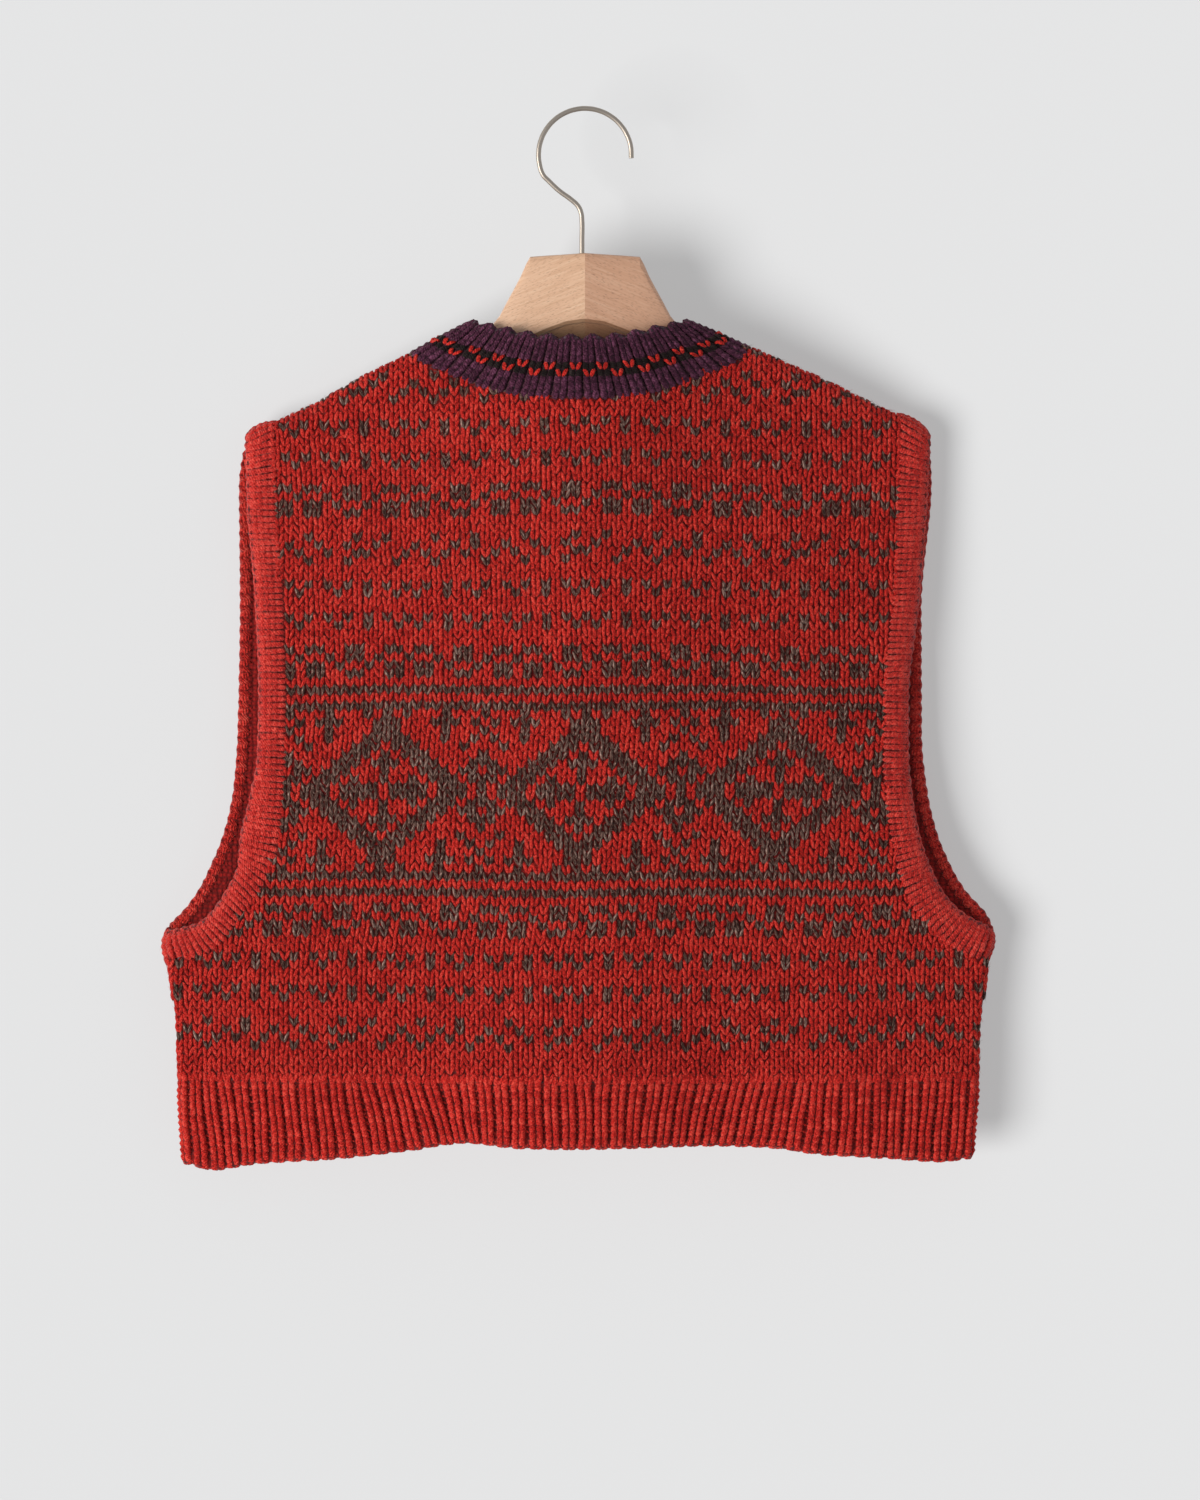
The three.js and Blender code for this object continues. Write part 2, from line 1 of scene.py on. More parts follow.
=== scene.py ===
# Knitted sweater vest on a wooden hanger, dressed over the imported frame
import json
import math
import bpy
import numpy as np
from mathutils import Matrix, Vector

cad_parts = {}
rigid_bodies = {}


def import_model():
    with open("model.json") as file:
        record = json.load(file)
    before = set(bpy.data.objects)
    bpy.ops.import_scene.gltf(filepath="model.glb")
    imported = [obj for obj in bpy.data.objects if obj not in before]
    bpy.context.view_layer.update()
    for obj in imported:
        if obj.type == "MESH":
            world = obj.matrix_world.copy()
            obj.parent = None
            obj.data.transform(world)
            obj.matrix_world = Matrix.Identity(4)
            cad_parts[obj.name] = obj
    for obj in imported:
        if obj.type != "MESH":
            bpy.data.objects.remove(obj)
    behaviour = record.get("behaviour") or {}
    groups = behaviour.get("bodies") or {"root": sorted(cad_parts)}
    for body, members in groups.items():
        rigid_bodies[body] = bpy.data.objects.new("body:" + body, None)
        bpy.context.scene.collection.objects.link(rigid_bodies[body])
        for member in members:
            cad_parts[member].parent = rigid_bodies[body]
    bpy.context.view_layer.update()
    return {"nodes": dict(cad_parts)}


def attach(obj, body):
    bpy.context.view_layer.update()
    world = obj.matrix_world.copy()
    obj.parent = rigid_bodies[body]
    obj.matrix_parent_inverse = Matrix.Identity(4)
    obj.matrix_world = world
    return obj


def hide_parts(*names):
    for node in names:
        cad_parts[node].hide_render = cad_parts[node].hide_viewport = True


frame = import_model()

bpy.ops.object.select_all(action="DESELECT")
scene = bpy.context.scene
rng = np.random.default_rng(11)
mm = 0.001

# camera, floor, light: set first so that everything else is judged in them
stage = {
    "centre": (0.0093, -0.3962),     # where the picture's middle falls, x and z in metres
    "distance": 3.4,                 # a long lens, as for a picture in a shop
    "pictureHeight": 0.93,           # metres of scene that the 1500 pixel side holds
    "sensor": 36,
    "wallBehind": 0.068,
    "floorAt": -1.05,
    "planeSize": 6.0,
    "backdrop": "#6C6C6C",
    "glow": 0.38,                    # share of the backdrop that is lit evenly by lamps of its own
    "roomTint": (0.93, 0.96, 1.0, 1),
    "roomLight": 0.5,
}


def linearOf(hexColour):
    out = []
    for i in (1, 3, 5):
        c = int(hexColour[i:i + 2], 16) / 255
        out.append(c / 12.92 if c <= 0.04045 else ((c + 0.055) / 1.055) ** 2.4)
    return (*out, 1.0)


def addNode(tree, kind, settings=None, links=None):
    # one node with its properties, socket values and incoming links
    node = tree.nodes.new("ShaderNode" + kind)
    for key, value in (settings or {}).items():
        if isinstance(key, str) and hasattr(node, key):
            setattr(node, key, value)
        else:
            node.inputs[key].default_value = value
    for key, source in (links or {}).items():
        tree.links.new(source, node.inputs[key])
    return node


def newMaterial(name):
    material = bpy.data.materials.new(name)
    material.use_nodes = True
    material.node_tree.nodes.clear()
    return material, material.node_tree


def finishMaterial(tree, shader):
    addNode(tree, "OutputMaterial", links={"Surface": shader.outputs[0]})


def rampOf(tree, source, stops):
    ramp = addNode(tree, "ValToRGB", links={"Fac": source})
    while len(ramp.color_ramp.elements) < len(stops):
        ramp.color_ramp.elements.new(0.5)
    for element, (place, colour) in zip(ramp.color_ramp.elements, stops):
        element.position = place
        element.color = linearOf(colour)
    return ramp.outputs["Color"]


cameraData = bpy.data.cameras.new("camera")
cameraData.sensor_fit = "VERTICAL"
cameraData.sensor_height = stage["sensor"]
cameraData.lens = stage["sensor"] * stage["distance"] / stage["pictureHeight"]
camera = bpy.data.objects.new("camera", cameraData)
scene.collection.objects.link(camera)
camera.location = (stage["centre"][0], -stage["distance"], stage["centre"][1])
camera.rotation_euler = (math.pi / 2, 0, 0)
scene.camera = camera

# painted plaster: matt, seen from the front only, so that it doesn't hide the vest from behind
plaster, tree = newMaterial("matt painted plaster")
facing = addNode(tree, "NewGeometry")
paint = addNode(tree, "BsdfPrincipled", {
    "Base Color": linearOf(stage["backdrop"]), "Roughness": 0.95, "Specular IOR Level": 0.1,
    "Emission Color": (1, 1, 1, 1), "Emission Strength": stage["glow"]})
clear = addNode(tree, "BsdfTransparent")
mixed = addNode(tree, "MixShader", links={
    0: facing.outputs["Backfacing"], 1: paint.outputs[0], 2: clear.outputs[0]})
finishMaterial(tree, mixed)

# the wall stands on the floor's far edge; the two collections say what a light falls on
backdropOnly = bpy.data.collections.new("backdropOnly")
allButBackdrop = bpy.data.collections.new("allButBackdrop")
halfPlane = stage["planeSize"] / 2
for name, place, turn in [
        ("backdropWall", (0, stage["wallBehind"], stage["floorAt"] + halfPlane), (math.pi / 2, 0, 0)),
        ("floor", (0, stage["wallBehind"] - halfPlane, stage["floorAt"]), (0, 0, 0))]:
    bpy.ops.mesh.primitive_plane_add(size=stage["planeSize"], location=place, rotation=turn)
    plane = bpy.context.active_object
    plane.name = name
    bpy.ops.object.transform_apply(location=True, rotation=True, scale=True)
    plane.data.materials.append(plaster)
    plane.visible_diffuse = False
    plane.visible_shadow = False
    backdropOnly.objects.link(plane)
    allButBackdrop.objects.link(plane)
    bpy.ops.object.select_all(action="DESELECT")
for held in allButBackdrop.collection_objects:
    held.light_linking.link_state = "EXCLUDE"


def hangLight(name, kind, energy, tint, turn):
    light = bpy.data.lights.new(name, kind)
    light.energy = energy
    light.color = linearOf(tint)[:3]
    holder = bpy.data.objects.new(name, light)
    holder.rotation_euler = turn.to_euler()
    scene.collection.objects.link(holder)
    return holder


# two soft lights far off, taken as suns: a wide window to the left for the vest, and a lamp
# nearer the camera for the backdrop, so that the shadow lies close beside the vest
suns = {
    # name: where it stands, energy, width in degrees, colour, what it lights
    "keyWindow": ((-0.80, -0.57, -0.14), 2.5, 34, "#FFFBF6", allButBackdrop),
    "backdropLamp": ((-0.56, -0.79, -0.25), 8.6, 29, "#FFFFFF", backdropOnly),
}
for name, (stands, energy, wide, tint, lit) in suns.items():
    sun = hangLight(name, "SUN", energy, tint, Vector(stands).to_track_quat("Z", "Y"))
    sun.data.angle = math.radians(wide)
    sun.light_linking.receiver_collection = lit

lamps = {
    # name: place, aim, size, power, colour
    "fillCard": ((1.9, -2.4, -0.2), (0.0, 0.0, -0.4), 2.2, 4.0, "#F6F8FF"),
    "behindCard": ((-0.9, 2.2, 0.3), (0.0, 0.0, -0.35), 1.8, 26.0, "#FFFFFF"),
}
for name, (place, aim, size, power, tint) in lamps.items():
    lamp = hangLight(name, "AREA", power, tint, (Vector(aim) - Vector(place)).to_track_quat("-Z", "Y"))
    lamp.data.size = size
    lamp.location = place

world = bpy.data.worlds.new("softRoom")
world.use_nodes = True
room = world.node_tree.nodes["Background"]
room.inputs["Color"].default_value = stage["roomTint"]
room.inputs["Strength"].default_value = stage["roomLight"]
scene.world = world
scene.view_settings.view_transform = "Standard"
scene.view_settings.look = "None"
print("stage set")

# the cloth's form, in millimetres, as the solids have it
form = {
    "wall": 3.0,
    "seam": 0.3,
    "shoulderRadius": 10.0,
    "sideRadius": 6.5,
    "bodyDepth": 16.0,
    "bodyFills": 150,       # how far below the shoulder the body has its full depth
    "neckCentre": -4.0,
    "neckHalf": 104.5,
    "neckDepth": 7.0,       # how far the cloth swells round the neck, and over which width
    "neckSwell": 105,
    "neckFills": 25,
    "neckFades": (0.6, 80, 200),    # its share that goes again, where that starts, over what height
    "foldFills": 170,       # the height over which a fold grows
    "hemTop": -600.0,
    "underarm": -528.5,
    "shoulderEnd": -190.0,
    "armholeTop": -192.0,
    "levelBelow": -250.0,   # above it the panel's columns of faces start at the shoulder and the neck
}
# the cloth leans back with the hanger's arms: slope, the round in the middle, the curl at the
# ends, and how much less it leans lower down, each with its start and length
sweep = {
    "slope": 0.2,
    "round": 20,
    "curl": 6,
    "reach": 200,
    "less": [(0.4, -215, 305), (0.1, -520, 130)],
}

shoulderLine = {
    "x": [-213, -204, -196, -181, -166, -152, -134, -106, -87, -70.5, -4,
          64, 84, 112, 132, 153, 172, 191, 200, 208.5, 216.5],
    "z": [-197.5, -191.5, -191, -184.8, -178, -170, -160.8, -147.8, -139.5, -130, -100,
          -130, -139, -148.8, -157.6, -166.4, -175.3, -184.3, -186.6, -188.5, -197],
}
sideFold = {
    "z": [-657, -651, -623, -598, -573, -548, -535, -522, -510],
    "left": [248, 253, 253.6, 254.4, 255.8, 258.5, 260.6, 264.5, 265.3],
    "right": [238, 241.5, 243.9, 245.9, 246.7, 250, 251.4, 253.4, 258],
}
# armholes: the panel's edge at each height and the band's edge beside it
armholes = {
    "backLeft": {
        "z": [191, 239, 302, 365, 402, 427, 455, 479, 494, 505, 515, 521.5, 526, 528.5],
        "x": [196.3, 195.4, 191.2, 189.1, 189.2, 190.4, 193.4, 202.5, 213.4, 221.2, 228.5,
              239.5, 255, 267.5],
        "edgeZ": [-197, -239, -302, -365, -401, -425, -450, -468, -484, -496, -503.5, -507,
                  -509, -510],
        "edgeX": [212.6, 211.6, 206, 203.3, 204.4, 208.7, 214.6, 216.2, 223.5, 231.5, 239.5,
                  248, 259, 269],
    },
    "backRight": {
        "z": [187, 239, 302, 365, 402, 427, 452, 479, 494, 505, 515, 521.5, 526, 528.5],
        "x": [199.7, 197.7, 194.5, 188.7, 188.6, 189.7, 193.4, 199.6, 206.6, 216, 226.2,
              239.1, 250.6, 256.5],
        "edgeZ": [-197, -239, -302, -365, -402, -426, -450, -472, -484, -493, -500.5, -505,
                  -508.5, -510],
        "edgeX": [216, 214.1, 208.5, 201.8, 201.8, 203.8, 208.5, 216.3, 222.5, 229.5, 239,
                  248.3, 255.5, 261.7],
    },
    "frontLeft": {
        "z": [191, 230, 308, 389, 424, 453, 481, 495.5, 508, 518.5, 528.5],
        "x": [196.3, 200.5, 201, 202, 204.8, 210.8, 221.8, 230.3, 240.3, 251.3, 267.5],
        "edgeZ": [-197, -230, -308, -388, -421, -447, -472.5, -485, -498, -505.5, -510],
        "edgeX": [212.6, 217, 216, 217.3, 219.8, 225.4, 235.6, 242, 251.6, 259.9, 269],
    },
    "frontRight": {
        "z": [187, 230, 308, 389, 424, 453, 481, 495.5, 508, 518.5, 525, 528.5],
        "x": [199.7, 201, 195.5, 195.5, 198.8, 205, 217, 226.5, 239, 245, 250.5, 256.5],
        "edgeZ": [-197, -230, -308, -388, -421.5, -447, -472.5, -485, -497.7, -505, -508, -510],
        "edgeX": [216, 217, 210.1, 210.2, 213.5, 219.2, 230, 237.7, 249.5, 256, 259, 261.7],
    },
}
# neck from its middle outwards: seam on the panel, then the band's top edge
neckline = {
    "back": {
        "x": [0, 25, 45, 62, 80, 95, 104.5],
        "z": [-177.4, -176.8, -173.5, -168.5, -161, -154.5, -147.3],
        "topX": [0, 17, 31, 43, 55, 63, 67.4],
        "topZ": [-142, -141.6, -139.5, -136.8, -133.4, -131, -129.6],
    },
    "front": {
        "x": [0, 25, 45, 62, 80, 95, 104.5],
        "z": [-232, -229, -221, -207, -186, -163, -147.3],
        "topX": [0, 18, 33, 46, 57, 64, 67.4],
        "topZ": [-197, -195, -189, -179, -161, -142, -129.6],
    },
}
hemEdge = {
    "x": [-246, -234, -205, -148, -111, -74, -37, 0, 74, 111, 149, 186, 224, 235],
    "z": [-654, -657.3, -653, -648.5, -644.2, -638.7, -641.4, -641.7, -640.6, -641.8,
          -646.6, -649.1, -652.2, -650.5],
}
# soft folds: face, x at the hem seam, half width, ridge height, where it starts, lean
folds = [
    (-1, -113, 34, -4.5, -430, 0.05),
    (-1, -42, 28, 3.5, -470, -0.03),
    (-1, 78, 46, -4.5, -440, 0.08),
    (-1, 168, 30, 2.5, -420, 0.04),
    (-1, -178, 26, 2.0, -400, 0.0),
    (1, -70, 40, -4.0, -440, -0.06),
    (1, 20, 34, 3.0, -460, 0.03),
    (1, 110, 38, -4.0, -420, 0.04),
    (1, -165, 30, 2.5, -430, 0.0),
]


def curveThrough(table, by, of):
    # smooth line through a table's rows that never overshoots them
    at = np.array(table[by], float)
    value = np.array(table[of], float)
    slope = np.diff(value) / np.diff(at)
    tangent = np.concatenate([slope[:1], slope[:-1], slope[-1:]])
    product = slope[:-1] * slope[1:]
    both = slope[:-1] + slope[1:]
    both[product <= 0] = 1
    tangent[1:-1] = np.where(product > 0, 2 * product / both, 0)

    def read(a):
        a = np.clip(a, at[0], at[-1])
        i = np.clip(np.searchsorted(at, a, side="right") - 1, 0, len(at) - 2)
        h = at[i + 1] - at[i]
        t = (a - at[i]) / h
        s = 1 - t
        return (value[i] * (1 + 2 * t) * s * s + tangent[i] * h * t * s * s
                + value[i + 1] * t * t * (3 - 2 * t) - tangent[i + 1] * h * t * t * s)
    return read


def ease(v):
    t = np.clip(v, 0, 1)
    return t * t * (3 - 2 * t)


shoulderAt = curveThrough(shoulderLine, "x", "z")
hemAt = curveThrough(hemEdge, "x", "z")
foldLeft = curveThrough(sideFold, "z", "left")
foldRight = curveThrough(sideFold, "z", "right")
quarter = form["shoulderRadius"] * math.pi / 2
foldSpare = form["sideRadius"] * (math.pi / 2 - 1)


def setBack(x, z):
    back = sweep["slope"] * (np.hypot(x, sweep["round"]) - sweep["round"])
    back = back + sweep["curl"] * (x / sweep["reach"]) ** 2
    kept = 1
    for share, start, length in sweep["less"]:
        kept = kept - share * np.clip((start - z) / length, 0, 1)
    return back * kept


def swell(face, x, z, flat):
    # how far the cloth stands out of its flat middle plane
    drop = shoulderAt(x) - z
    share = np.clip(np.abs(x) / flat, 0, 1)
    body = form["sideRadius"] + (form["bodyDepth"] - form["sideRadius"]) * (1 - share ** 3)
    roundness = np.clip(1 - ((x - form["neckCentre"]) / form["neckSwell"]) ** 2, 0, 1) ** 2
    gone, start, length = form["neckFades"]
    out = (body - form["shoulderRadius"]) * ease(drop / form["bodyFills"])
    neck = form["neckDepth"] * roundness * ease(drop / form["neckFills"])
    out = out + neck * (1 - gone * ease((drop - start) / length))
    for side, place, width, height, start, lean in folds:
        if side == face:
            off = (x - place - lean * (z - form["hemTop"])) / width
            rise = ease((start - z) / form["foldFills"])
            out = out + height * np.exp(-off * off) * rise * (1 - share ** 6)
    return out


def clothPoint(face, across, down, inside):
    # across and down along the cloth, inside from its outer face, all in mm
    radius = form["shoulderRadius"]
    side = form["sideRadius"]
    turn = np.clip(down / radius, 0, math.pi / 2)
    hang = shoulderAt(across) - radius - np.maximum(0, down - quarter)
    outerZ = hang + radius * np.cos(turn)
    z = hang + (radius - inside) * np.cos(turn)
    sign = np.where(across < 0, -1.0, 1.0)
    flat = np.where(across < 0, foldLeft(outerZ), foldRight(outerZ)) - side
    past = np.maximum(np.abs(across) - flat, 0)
    bend = np.minimum(past / side, math.pi / 2)
    level = (radius - inside) * np.sin(turn) + swell(face, across, outerZ, flat)
    x = np.where(past > 0, sign * (flat + (side - inside) * np.sin(bend)), across)
    depth = np.where(past > 0, (side - inside) * np.cos(bend), level)
    y = setBack(x, outerZ) + face * (form["seam"] / 2 + depth)
    return np.stack([x + 0 * y, y, z + 0 * y], axis=-1)


def dropTo(across, z):
    down = shoulderAt(across) - z
    radius = form["shoulderRadius"]
    near = radius * np.arccos(np.clip(1 - down / radius, -1, 1))
    return np.where(down >= radius, quarter + down - radius, near)


def knitPoint(face, x, level, height):
    # level is a height on the straight cloth, carried on over the shoulder at the cloth's own length
    down = shoulderAt(x) - level + quarter - form["shoulderRadius"]
    return clothPoint(face, x, down, -height)


sideName = {-1: "back", 1: "front"}
halfLines = {name: curveThrough(table, "z", "x") for name, table in armholes.items()}


def armholeOf(face, left):
    return sideName[face] + ("Left" if left else "Right")


def halfWidth(face, z, left):
    # how far the panel reaches to one side at a height
    full = (foldLeft(z) if left else foldRight(z)) + foldSpare
    line = halfLines[armholeOf(face, left)]
    return np.where(z >= form["underarm"], np.minimum(line(-z), full), full)


# mesh helpers
def meshPiece(name, points, faces, material, fields=None):
    # points (n, 3) in mm; faces a list of equal-width index arrays
    mesh = bpy.data.meshes.new(name)
    mesh.vertices.add(len(points))
    mesh.vertices.foreach_set("co", (np.asarray(points, np.float64) * mm).ravel())
    corners = np.concatenate([f.ravel() for f in faces])
    sizes = np.concatenate([np.full(len(f), f.shape[1]) for f in faces])
    mesh.loops.add(len(corners))
    mesh.loops.foreach_set("vertex_index", corners.astype(np.int32))
    mesh.polygons.add(len(sizes))
    starts = np.concatenate([[0], np.cumsum(sizes)[:-1]])
    mesh.polygons.foreach_set("loop_start", starts.astype(np.int32))
    mesh.polygons.foreach_set("loop_total", sizes.astype(np.int32))
    mesh.update(calc_edges=True)
    mesh.validate()
    for key, values in (fields or {}).items():
        if values.ndim == 1:
            layer = mesh.attributes.new(key, "FLOAT", "POINT")
            layer.data.foreach_set("value", values.astype(np.float32))
        else:
            layer = mesh.attributes.new(key, "FLOAT_VECTOR", "POINT")
            layer.data.foreach_set("vector", values.astype(np.float32).ravel())
    mesh.polygons.foreach_set("use_smooth", np.full(len(sizes), True))
    piece = bpy.data.objects.new(name, mesh)
    scene.collection.objects.link(piece)
    piece.data.materials.append(material)
    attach(piece, "root")
    return piece


def outward(points, faces):
    # turns all faces round if the closed body they make is inside out
    volume = 0.0
    for f in faces:
        a, b = points[f[:, 0]], points[f[:, 1]]
        for k in range(2, f.shape[1]):
            c = points[f[:, k]]
            volume += float(np.sum(a * np.cross(b, c)))
            b = c
    return faces if volume > 0 else [f[:, ::-1] for f in faces]


def tubeFaces(points, n, m, closed):
    # n rings of m points each, one after the other, with flat ends where the tube isn't closed
    r, c = np.meshgrid(np.arange(n if closed else n - 1), np.arange(m), indexing="ij")
    r2, c2 = (r + 1) % n, (c + 1) % m
    quads = [r * m + c, r2 * m + c, r2 * m + c2, r * m + c2]
    faces = [np.stack([q.ravel() for q in quads], axis=1)]
    if not closed:
        k = np.arange((m - 1) // 2)
        start = np.stack([k, k + 1, m - 2 - k, m - 1 - k], axis=1)
        faces += [start, (start + (n - 1) * m)[:, ::-1]]
    return outward(points, [np.concatenate(faces)])


# yarns
yarn = {
    "fibre": 1.12,      # mm between fibre clumps, coarser than real so that they show
    "streak": 2.6,      # mm that a pale fibre runs along the yarn
    "streakWide": 0.7,  # and how wide a bunch of them looks
    "ply": 2.1,         # mm of yarn for one turn of its twist
    "legLong": 6.5,     # mm of yarn in one leg of a stitch, and half its width
    "legHalf": 1.2,
    "noiseShare": 0.87,     # what the colour follows: fibres, each stitch's own tone, wide clouds
    "toneShare": 0.07,
    "cloudShare": 0.035,
    "cloud": 28.0,          # clouds in a metre
    "sheenTint": "#F0B8B0",
}


def woolMaterial(name, colours, sheen):
    # lambswool, woollen spun: matt, with a soft halo of fibres and a mottled dye
    # each dye: its stops, and how much its fibres show as streaks along the yarn
    material, tree = newMaterial(name)
    place = addNode(tree, "TexCoord").outputs["Object"]
    kind = addNode(tree, "Attribute", {"attribute_name": "dye"}).outputs["Fac"]
    tone = addNode(tree, "Attribute", {"attribute_name": "tone"}).outputs["Fac"]
    strand = addNode(tree, "Attribute", {"attribute_name": "strand"}).outputs["Vector"]
    speck = addNode(tree, "TexNoise", {
        "Scale": 1000 / yarn["fibre"], "Detail": 3.0, "Roughness": 0.65},
        {"Vector": place}).outputs["Fac"]
    along = addNode(tree, "Mapping", {
        "Scale": (1 / yarn["streak"], 1 / yarn["streakWide"], 1.0)}, {"Vector": strand})
    streak = addNode(tree, "TexNoise", {
        "Scale": 1.0, "Detail": 1.0, "Roughness": 0.6, "Distortion": 0.4},
        {"Vector": along.outputs[0]}).outputs["Fac"]
    cloud = addNode(tree, "TexNoise", {"Scale": yarn["cloud"], "Detail": 2.0},
                    {"Vector": place}).outputs["Fac"]
    soft = addNode(tree, "Math", {"operation": "MULTIPLY", 1: yarn["toneShare"]}, {0: tone}).outputs[0]
    dyes = []
    for stops, streaky in colours:
        fibres = yarn["noiseShare"]
        shade = soft
        for source, share in (
                (cloud, yarn["cloudShare"]), (speck, fibres * (1 - streaky)), (streak, fibres * streaky)):
            shade = addNode(tree, "Math", {"operation": "MULTIPLY_ADD", 1: share},
                            {0: source, 2: shade}).outputs[0]
        dyes.append(rampOf(tree, shade, stops))
    colour = dyes[0]
    for i, dye in enumerate(dyes[1:]):
        pick = addNode(tree, "Math", {"operation": "GREATER_THAN", 1: i + 0.5},
                       {0: kind}).outputs[0]
        blend = addNode(tree, "Mix", {"data_type": "RGBA"}, {0: pick, 6: colour, 7: dye})
        colour = blend.outputs[2]
    twist = addNode(tree, "TexWave", {
        "Scale": 1.0 / yarn["ply"] * math.pi / 3.2, "Distortion": 2.0, "Detail": 2.0,
        "bands_direction": "DIAGONAL"}, {"Vector": strand}).outputs["Fac"]
    relief = addNode(tree, "Math", {"operation": "MULTIPLY_ADD", 1: 0.5},
                     {0: twist, 2: speck}).outputs[0]
    bump = addNode(tree, "Bump", {"Strength": 0.9, "Distance": 0.001},
                   {"Height": relief}).outputs["Normal"]
    wool = addNode(tree, "BsdfPrincipled", {
        "Roughness": 0.92, "Specular IOR Level": 0.15, "Sheen Weight": sheen,
        "Sheen Roughness": 0.45, "Sheen Tint": linearOf(yarn["sheenTint"])},
        {"Base Color": colour, "Normal": bump})
    finishMaterial(tree, wool)
    return material


redDye = ([(0.36, "#7E1310"), (0.44, "#BA1F19"), (0.51, "#DB2C24"), (0.60, "#EF5243")], 0.27)
# a paler copy of the red for both armhole bands: painted light, to make them look more lit
paintedLightRedDye = ([(0.35, "#8C1412"), (0.43, "#BA231E"), (0.51, "#DA352C"), (0.61, "#EE5B4D")], 0.25)
heatherDye = ([(0.38, "#2F1D18"), (0.46, "#583C33"), (0.54, "#806257"), (0.64, "#B5978A")], 0.75)
purpleDye = ([(0.38, "#2F1222"), (0.5, "#51253C"), (0.62, "#7A4560")], 0.5)
blackDye = ([(0.38, "#0F0B0B"), (0.52, "#1F1817"), (0.66, "#3A3130")], 0.5)
bodyWool = woolMaterial("red and heather lambswool", [redDye, heatherDye], 0.12)
paintedLightRibWool = woolMaterial("red lambswool, rubbed soft", [paintedLightRedDye], 0.35)
neckWool = woolMaterial("purple, black and red lambswool", [purpleDye, blackDye, redDye], 0.12)

# the charts, read by row from the top; X is the heather yarn
bandCharts = {
    # name: first column of a repeat, rows
    "seeding": (0, [
        "X.X.X.X.X.X.X.X.X.",
        "X..X.X..X..X...X..",
    ]),
    "flower": (2, [
        "XX..XX.XX..",
        "XX.X..X..X.",
        "..X.XX.XX.X",
        "XX..XX.XX..",
    ]),
    "wave": (-2, [
        "X....X..X....X...X....",
        ".X..X..X...X...X.X..X.",
        "..X..XX...X.X.X.X..X.X",
        "X...X....X...X....X...",
    ]),
    "line": (0, ["X"]),
    "diamond": (-6, [
        # one repeat of 20 stitches with the diamond's middle in the eleventh
        "X...X...X.X.X...X...",
        ".X.XXX...XXX...XXX.X",
        "X...X....XXX....X...",
        ".X..X...XXXXX...X..X",
        "..X....XXX.XXX....X.",
        "X.....XXX.X.XXX.....",
        "XX...XXX.XXX.XXX...X",
        ".XX.XXX...X...XXX.XX",
        "XX.XXX.X..X..X.XXX.X",
        "X.XXX.XXXX.XXXX.XXX.",
    ]),
}
# which chart starts on which row, counted down from the shoulder blades
bandRows = [
    (-10, "seeding"), (-6, "wave"), (0, "seeding"), (4, "seeding"), (8, "flower"), (14, "wave"),
    (20, "seeding"), (24, "seeding"), (28, "flower"), (33, "line"), (35, "line"),
    (36, "diamond"), (56, "line"), (58, "line"), (60, "flower"), (66, "seeding"),
    (70, "seeding"), (74, "wave"),
]


def dyeAt(column, row):
    # 0 red, 1 heather
    for start, name in bandRows:
        first, rows = bandCharts[name]
        depth = row - start
        if name == "diamond" and 10 <= depth < 20:
            depth = 19 - depth
        if 0 <= depth < len(rows):
            line = rows[depth]
            return 1.0 if line[(column - first) % len(line)] == "X" else 0.0
    return 0.0


# one leg of a stitch, a pointed soft strand, and the purl bump between ribs
# rows: share of the length, across, along, half width, height
plainLeg = [
    (0.0, 0.46, 0.66, 0.0, 0.3),
    (0.22, 0.86, 0.38, 1.14, 0.95),
    (0.55, 1.55, -0.11, 1.5, 1.25),
    (0.84, 2.20, -0.50, 1.22, 0.85),
    (1.0, 2.56, -0.82, 0.0, 0.2),
]
# the same in a rib: across and half width are shares of the band's own spread and girth
ribLeg = [
    (0.0, -0.9, 0.72, 0.0, 0.2),
    (0.2, -0.6, 0.43, 0.78, 1.2),
    (0.5, 0.0, 0.0, 1.04, 2.1),
    (0.8, 0.6, -0.43, 0.80, 1.15),
    (1.0, 0.9, -0.78, 0.0, 0.1),
]
purlBump = [
    (0.0, -1.5, 0.30, 0.0, -1.5),
    (0.2, -0.8, 0.16, 0.7, -0.9),
    (0.5, 0.0, 0.0, 1.0, -0.6),
    (0.8, 0.8, -0.16, 0.7, -0.9),
    (1.0, 1.5, -0.30, 0.0, -1.5),
]
ringPlaces = [(-1.0, -0.35), (-0.55, 1.0), (0.55, 1.0), (1.0, -0.35)]


def strandShape(rows, sign, pitch, girth=1.0, relief=1.0):
    # 14 points in (across, along, height, share, round), along is positive towards the V's point
    points = []
    for i, (share, across, along, half, height) in enumerate(rows):
        before = rows[max(0, i - 1)]
        after = rows[min(len(rows) - 1, i + 1)]
        half, height = half * girth, height * relief
        du = (after[1] - before[1]) * sign
        dv = (after[2] - before[2]) * pitch
        length = math.hypot(du, dv)
        if half == 0.0:
            points.append((sign * across, along * pitch, height, share, 0.0))
            continue
        for side, lift in ringPlaces:
            u = sign * across + side * half * (-dv / length)
            v = along * pitch + side * half * (du / length)
            points.append((u, v, height if lift > 0 else min(-0.5, height - 1.2), share, side))
    return np.array(points)


def strandFaces():
    tips, sides = [], []
    for k in range(4):
        n = (k + 1) % 4
        tips.append((0, 1 + n, 1 + k))
        tips.append((13, 9 + k, 9 + n))
        for ring in (1, 5):
            sides.append((ring + k, ring + n, ring + 4 + n, ring + 4 + k))
    return np.array(tips), np.array(sides)


legTips, legSides = strandFaces()


